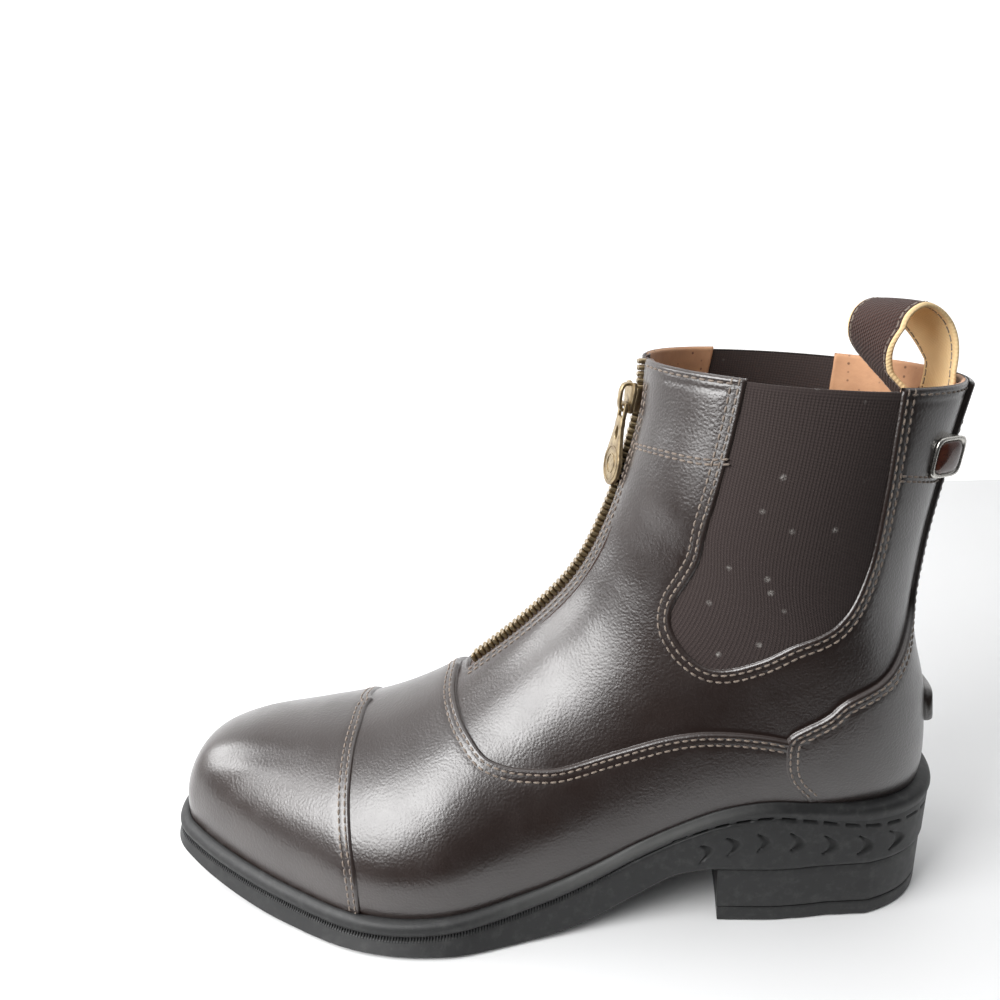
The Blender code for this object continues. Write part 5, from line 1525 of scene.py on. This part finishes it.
def make_sole():
    """The outsole: rim, rounded bead, knurled groove round the front, marked sides at the heel, tread."""
    size = sizes()
    base = foot_outline()
    away = outline_away(base)
    x = base[:, 0]
    share = np.clip((x - HEEL_BACK_X) / FOOT_LENGTH, 0, 1)
    top = height_on(SOLE_TOP_LINE, x)
    tread = tread_height(x)
    cap_share = np.interp(share, (0.70, 0.725), (0, 1))
    heel_share = np.interp(share, (0.17, 0.20), (1, 0))
    cover = size.layer_gap + size.vamp + (size.cap - size.vamp) * cap_share
    hug = cover + (size.counter - size.vamp) * heel_share + 0.10 * MM
    key = [(hug - 0.3 * MM, top - RIM_HEIGHT), (hug, top - 0.5 * MM), (hug + 0.25 * MM, top - 0.05 * MM),
           (hug + 0.8 * MM, top)]
    for _, margins, depth in SOLE_LEVELS:
        key.append((np.interp(share, SOLE_STATIONS, margins) * SOLE_MARGIN, top - depth))
    wall_margin = np.interp(share, SOLE_STATIONS, WALL_EDGE) * SOLE_MARGIN
    key.append((key[-1][0] * 0.5 + wall_margin * 0.5, (key[-1][1] + tread + TREAD_BEVEL) / 2))
    key.append((wall_margin, tread + TREAD_BEVEL))
    key.append((np.interp(share, SOLE_STATIONS, TREAD_EDGE) * SOLE_MARGIN, tread))
    profile = side_profile(np.array([np.stack(pair, axis=-1) for pair in key]))
    length = np.concatenate([[0], np.cumsum(np.linalg.norm(np.diff(base, axis=0), axis=1))])
    margin, height = profile[..., 0], profile[..., 1]
    depth = top[None] - height
    marks = side_marks(np.broadcast_to(x, depth.shape), depth, np.broadcast_to(length, depth.shape))
    marks = np.where(height > SOLE_BACK_Z - 0.001, marks, 0)
    margin = margin - MARK_DEEP * marks
    dusty = np.interp(share, (0.20, 0.33, 0.45, 0.60), (0, 1, 0.8, 0))
    dusty = dusty * np.exp(-((depth - 0.0020) / 0.0018)**2)
    plan = base[None] + away[None] * margin[..., None]
    points = np.concatenate([plan, height[..., None]], axis=2)
    count, levels = len(base), len(points)
    faces = tube_faces(levels, count)[:-2]
    # the tread and the platform: strips from the outer side to the inner side, meeting at tip and heel
    for start, flip in ((0, 1), ((levels - 1) * count, -1)):
        pairs = [(start + row, start + (count - row) % count) for row in range(count // 2 + 1)]
        for (p, q), (r, s) in zip(pairs, pairs[1:]):
            face = list(dict.fromkeys((p, r, s, q)))
            if len(face) > 2:
                faces.append(tuple(face[::flip]))
    points = points.reshape(-1, 3)
    # the depth of the cut marks also goes to the rubber as painted shade in the marks
    sole = outward_faces(make_piece("outsole_moulded", points, faces, [FINISHES["rubber"]], slot="rubber",
                                    replaces=("outsole",), flat_angle=48,
                                    fields={"recess_shade": marks.ravel(), "dust": dusty.ravel()}))
    return [sole, make_knurls(base, away, top, share)]


def make_knurls(base, away, top, share):
    """Fine upright ribs in the groove under the bead, from the arch round the toe."""
    closed = np.concatenate([base, base[:1]])
    length = np.concatenate([[0], np.cumsum(np.linalg.norm(np.diff(closed, axis=0), axis=1))])
    at = np.arange(0, length[-1], KNURL_PITCH)
    place = np.column_stack([np.interp(at, length, closed[:, k]) for k in range(2)])
    direction = np.column_stack([np.interp(at, length, np.append(away[:, k], away[0, k])) for k in range(2)])
    height = np.interp(at, length, np.append(top, top[0]))
    part = np.interp(at, length, np.append(share, share[0]))
    groove, wall = (np.interp(part, SOLE_STATIONS, SOLE_LEVELS[level][1]) * SOLE_MARGIN for level in (3, 4))
    parts = []
    for index in np.flatnonzero(part > share[share > KNURL_FROM].min()):
        fade = min(1.0, (part[index] - KNURL_FROM) / KNURL_FADE)
        out = np.array((*direction[index], 0.0))
        along = np.array((-direction[index, 1], direction[index, 0], 0.0))
        points = []
        for depth, reach, width in ((4.7, groove[index] + 0.9 * MM * fade, 0.30),
                                    (5.5, groove[index] + 1.0 * MM * fade, 0.34),
                                    (6.9, wall[index] + 0.25 * MM * fade, 0.30)):
            centre = np.array((*place[index], height[index] - depth * MM))
            points += [centre + out * (reach + b * 0.55 * MM) + along * a * width * MM
                       for a, b in KNURL_SHAPE]
        parts.append((points, tube_faces(3, len(KNURL_SHAPE))))
    return outward_faces(make_piece("outsole_knurls", *gather(parts), [FINISHES["rubber"]], slot="rubber",
                                    flat_angle=40))


def heel_outline(level_margins, base, away):
    chosen = base[:, 0] < HEEL_BREAST_X - 0.002
    margin = np.interp((base[:, 0] - HEEL_BACK_X) / FOOT_LENGTH, HEEL_STATIONS, level_margins)
    moved = (base + away * margin[:, None])[chosen]
    step = 3
    moved = np.concatenate([moved[:-1:step], moved[-1:]])
    share = np.linspace(0, 1, 15)
    y = moved[-1, 1] + (moved[0, 1] - moved[-1, 1]) * share
    breast = np.column_stack([HEEL_BREAST_X - BREAST_HOLLOW * np.sin(math.pi * share), y])
    return np.concatenate([moved, breast])


def heel_stack(name, low_plan, high_plan, low, high):
    """Rings of a heel piece between two heights, with eased edges; notched at the floor for the lift."""
    middle = low_plan.mean(axis=0)
    span = high - low
    rings = []
    for t, inset in ((0.0, 0.45), (0.25 * MM / span, 0.12), (0.6 * MM / span, 0.0), (0.3, 0.0), (0.55, 0.0),
                     (0.8, 0.0), (1 - 0.5 * MM / span, 0.0), (1 - 0.15 * MM / span, 0.12), (1.0, 0.38)):
        plan = low_plan + (high_plan - low_plan) * t
        inward = middle - plan
        inward /= np.linalg.norm(inward, axis=1, keepdims=True)
        rings.append(np.column_stack([plan + inward * inset * MM, np.full(len(plan), low + span * t)]))
    if name == "heel_lift_tread":
        along = np.concatenate([[0], np.cumsum(np.linalg.norm(np.diff(low_plan, axis=0), axis=1))])
        notch = np.clip(1 - np.abs((along % NOTCH_PITCH) - NOTCH_AT) / NOTCH_HALF, 0, 1)
        notch = notch * (low_plan[:, 0] < HEEL_BREAST_X - 0.001)
        for ring in rings[:2]:
            ring[:, 2] += notch * NOTCH_DEEP
    return rings


def make_heel():
    """The heel block and its lift."""
    base = foot_outline()
    away = outline_away(base)
    plans = {name: heel_outline(margins, base, away) for name, margins in HEEL_LEVELS.items()}
    made = []
    for name, low_name, high_name, low, high, slot, replaced in (
            ("heel_block", "block_low", "top", LIFT_THICK + GAP, SOLE_BACK_Z - GAP, "rubber", "heel"),
            ("heel_lift_tread", "floor", "block_low", 0.0, LIFT_THICK, "lift", "heel_lift")):
        rings = heel_stack(name, plans[low_name], plans[high_name], low, high)
        faces = tube_faces(len(rings), len(rings[0]))
        made.append(outward_faces(make_piece(name, np.concatenate(rings), faces, [FINISHES["rubber"]],
                                             slot=slot, replaces=(replaced,), flat_angle=42)))
    return made


def make_insole():
    node = frame["nodes"]["insole"]
    node.data.materials.clear()
    node.data.materials.append(FINISHES["insole"])
    return [node]


# The backdrop's line from the camera's side to the far wall, as (y, z), and half its length
BACKDROP_LINE = ((0.11, 0.0), (-0.42, 0.0), (-0.46, 0.01), (-0.48, 0.04), (-0.49, 1.6))
BACKDROP_HALF = 3.0
FLOOR_DROP = 0.0002
LIGHT_TARGET = (0.09, 0.0, 0.08)
# The camera as fitted to the boot in the photo; the focal length is in picture widths
CAMERA_FOCAL = 0.938341
SENSOR_WIDTH = 36.0
CAMERA_TURN = math.radians(-5.262)
CAMERA_RISE = math.radians(16.516)
CAMERA_ROLL = math.radians(-2.705)
CAMERA_TARGET = (0.105155, -0.003992, 0.137071)
CAMERA_DISTANCE = 0.325230


def area_light(name, place, target, size, power):
    light = bpy.data.lights.new(name, "AREA")
    light.shape = "RECTANGLE"
    light.size, light.size_y = size
    light.energy = power
    made = bpy.data.objects.new(name, light)
    made.location = place
    made.rotation_euler = (Vector(target) - Vector(place)).to_track_quat("-Z", "Y").to_euler()
    bpy.context.scene.collection.objects.link(made)


def make_backdrop():
    """A pale floor that bends up into a far wall."""
    for name, chosen, finish in (("floor", BACKDROP_LINE[:3], "floor"), ("wall", BACKDROP_LINE[2:], "wall")):
        count = len(chosen)
        points = [(x, y, z - FLOOR_DROP) for x in (-BACKDROP_HALF, BACKDROP_HALF) for y, z in chosen]
        faces = [(k, k + 1, k + 1 + count, k + count) for k in range(count - 1)]
        mesh = bpy.data.meshes.new(name)
        mesh.from_pydata(points, [], faces)
        mesh.materials.append(FINISHES[finish])
        mesh.shade_smooth()
        ground = bpy.data.objects.new(name, mesh)
        bpy.context.scene.collection.objects.link(ground)


def span_node(tree, source, low, high, to_low, to_high):
    """A world node that turns one span of a direction into a brightness."""
    node = tree.nodes.new("ShaderNodeMapRange")
    for socket, value in zip((1, 2, 3, 4), (low, high, to_low, to_high)):
        node.inputs[socket].default_value = value
    tree.links.new(source, node.inputs[0])
    return node.outputs[0]


def make_world():
    """Soft room light: bright on the camera's side and above, dim behind the boot."""
    world = bpy.data.worlds.new("studio")
    world.use_nodes = True
    tree = world.node_tree
    sky = tree.nodes["Background"]
    way = tree.nodes.new("ShaderNodeSeparateXYZ")
    tree.links.new(tree.nodes.new("ShaderNodeTexCoord").outputs["Generated"], way.inputs[0])
    total = tree.nodes.new("ShaderNodeMath")
    tree.links.new(span_node(tree, way.outputs[1], -0.35, 0.35, 0.70, 0.06), total.inputs[0])
    tree.links.new(span_node(tree, way.outputs[2], 0.35, 0.9, 0.0, 0.60), total.inputs[1])
    tree.links.new(total.outputs[0], sky.inputs[1])
    sky.inputs[0].default_value = (0.97, 0.985, 1.0, 1.0)
    bpy.context.scene.world = world
    bpy.context.scene.view_settings.view_transform = "Standard"


def make_lights():
    """A large window light, a small one at the toe's side and a soft one above."""
    area_light("window", (0.60, 0.43, 0.52), LIGHT_TARGET, (0.56, 0.60), 10.5)
    area_light("side", (0.86, -0.10, 0.42), LIGHT_TARGET, (0.35, 0.30), 2.6)
    area_light("above", (0.00, -0.20, 1.1), LIGHT_TARGET, (0.9, 0.6), 1.8)


def make_camera():
    """The camera of the photo, outside the left boot and a little above it."""
    toward = Vector((math.sin(CAMERA_TURN) * math.cos(CAMERA_RISE),
                     math.cos(CAMERA_TURN) * math.cos(CAMERA_RISE), math.sin(CAMERA_RISE)))
    level = (-toward).cross(Vector((0, 0, 1))).normalized()
    upright = level.cross(-toward)
    right = math.cos(CAMERA_ROLL) * level + math.sin(CAMERA_ROLL) * upright
    up = math.cos(CAMERA_ROLL) * upright - math.sin(CAMERA_ROLL) * level
    camera = bpy.data.cameras.new("camera")
    camera.sensor_width = SENSOR_WIDTH
    camera.lens = CAMERA_FOCAL * SENSOR_WIDTH
    camera.clip_start, camera.clip_end = 0.01, 20.0
    view = bpy.data.objects.new("camera", camera)
    turn = Matrix((right, up, toward)).transposed().to_4x4()
    view.matrix_world = Matrix.Translation(Vector(CAMERA_TARGET) + toward * CAMERA_DISTANCE) @ turn
    bpy.context.scene.collection.objects.link(view)
    bpy.context.scene.camera = view


def make_stage():
    """Pale floor with a far wall, soft lights and the camera."""
    make_backdrop()
    make_world()
    make_lights()
    make_camera()


class BOOT_OT_finishes(bpy.types.Operator):
    """Make the boot's materials."""

    bl_idname = "boot.finishes"
    bl_label = "Finishes"

    def execute(self, context):
        make_finishes()
        return {"FINISHED"}


class BOOT_OT_upper(bpy.types.Operator):
    """Build the lasted upper with its lining."""

    bl_idname = "boot.upper"
    bl_label = "Upper"

    def execute(self, context):
        make_upper()
        return {"FINISHED"}


class BOOT_OT_overlays(bpy.types.Operator):
    """Build vamp, toe cap, counter and spur rest."""

    bl_idname = "boot.overlays"
    bl_label = "Overlays"

    def execute(self, context):
        make_overlays()
        return {"FINISHED"}


class BOOT_OT_seams(bpy.types.Operator):
    """Sew the stitch rows."""

    bl_idname = "boot.seams"
    bl_label = "Seams"

    def execute(self, context):
        make_seams()
        return {"FINISHED"}


class BOOT_OT_gores(bpy.types.Operator):
    """Build the elastic gores."""

    bl_idname = "boot.gores"
    bl_label = "Gores"

    def execute(self, context):
        make_gores()
        return {"FINISHED"}


class BOOT_OT_zip(bpy.types.Operator):
    """Build the zip's tape and teeth."""

    bl_idname = "boot.zip"
    bl_label = "Zip"

    def execute(self, context):
        make_zip()
        return {"FINISHED"}


class BOOT_OT_slider(bpy.types.Operator):
    """Build the zip's slider."""

    bl_idname = "boot.slider"
    bl_label = "Slider"

    def execute(self, context):
        make_slider()
        return {"FINISHED"}


class BOOT_OT_pull_tab(bpy.types.Operator):
    """Build the slider's pull tab."""

    bl_idname = "boot.pull_tab"
    bl_label = "Pull tab"

    def execute(self, context):
        make_pull_tab()
        return {"FINISHED"}


class BOOT_OT_pull_loop(bpy.types.Operator):
    """Build the webbing loop at the back."""

    bl_idname = "boot.pull_loop"
    bl_label = "Pull loop"

    def execute(self, context):
        make_pull_loop()
        return {"FINISHED"}


class BOOT_OT_badge(bpy.types.Operator):
    """Build the plain badge."""

    bl_idname = "boot.badge"
    bl_label = "Badge"

    def execute(self, context):
        make_badge()
        return {"FINISHED"}


class BOOT_OT_sole(bpy.types.Operator):
    """Build the outsole."""

    bl_idname = "boot.sole"
    bl_label = "Sole"

    def execute(self, context):
        make_sole()
        return {"FINISHED"}


class BOOT_OT_heel(bpy.types.Operator):
    """Build the heel block and lift."""

    bl_idname = "boot.heel"
    bl_label = "Heel"

    def execute(self, context):
        make_heel()
        return {"FINISHED"}


class BOOT_OT_insole(bpy.types.Operator):
    """Finish the insole."""

    bl_idname = "boot.insole"
    bl_label = "Insole"

    def execute(self, context):
        make_insole()
        return {"FINISHED"}


class BOOT_OT_stage(bpy.types.Operator):
    """Build floor, lights and camera."""

    bl_idname = "boot.stage"
    bl_label = "Stage"

    def execute(self, context):
        make_stage()
        return {"FINISHED"}


OPERATORS = (BOOT_OT_finishes, BOOT_OT_upper, BOOT_OT_overlays, BOOT_OT_seams, BOOT_OT_gores, BOOT_OT_zip,
             BOOT_OT_slider, BOOT_OT_pull_tab, BOOT_OT_pull_loop, BOOT_OT_badge, BOOT_OT_sole, BOOT_OT_heel,
             BOOT_OT_insole, BOOT_OT_stage)


class BOOT_PT_panel(bpy.types.Panel):
    """Sizes, colours and pieces of the boot."""

    bl_idname = "BOOT_PT_panel"
    bl_label = "Paddock boot"
    bl_space_type = "VIEW_3D"
    bl_region_type = "UI"
    bl_category = "Boot"

    def draw(self, context):
        for group in (context.scene.boot_sizes, context.scene.boot_colours):
            for name in group.bl_rna.properties.keys():
                if name not in ("rna_type", "name"):
                    self.layout.prop(group, name)
        for operator in OPERATORS:
            self.layout.operator(operator.bl_idname)


CLASSES = (BootSizes, BootColours, *OPERATORS, BOOT_PT_panel)


def register():
    for item in CLASSES:
        bpy.utils.register_class(item)
    bpy.types.Scene.boot_sizes = bpy.props.PointerProperty(type=BootSizes)
    bpy.types.Scene.boot_colours = bpy.props.PointerProperty(type=BootColours)


def unregister():
    del bpy.types.Scene.boot_sizes
    del bpy.types.Scene.boot_colours
    for item in reversed(CLASSES):
        bpy.utils.unregister_class(item)


def main():
    register()
    for operator in OPERATORS:
        group, name = operator.bl_idname.split(".")
        getattr(getattr(bpy.ops, group), name)()


if __name__ == "__main__":
    main()
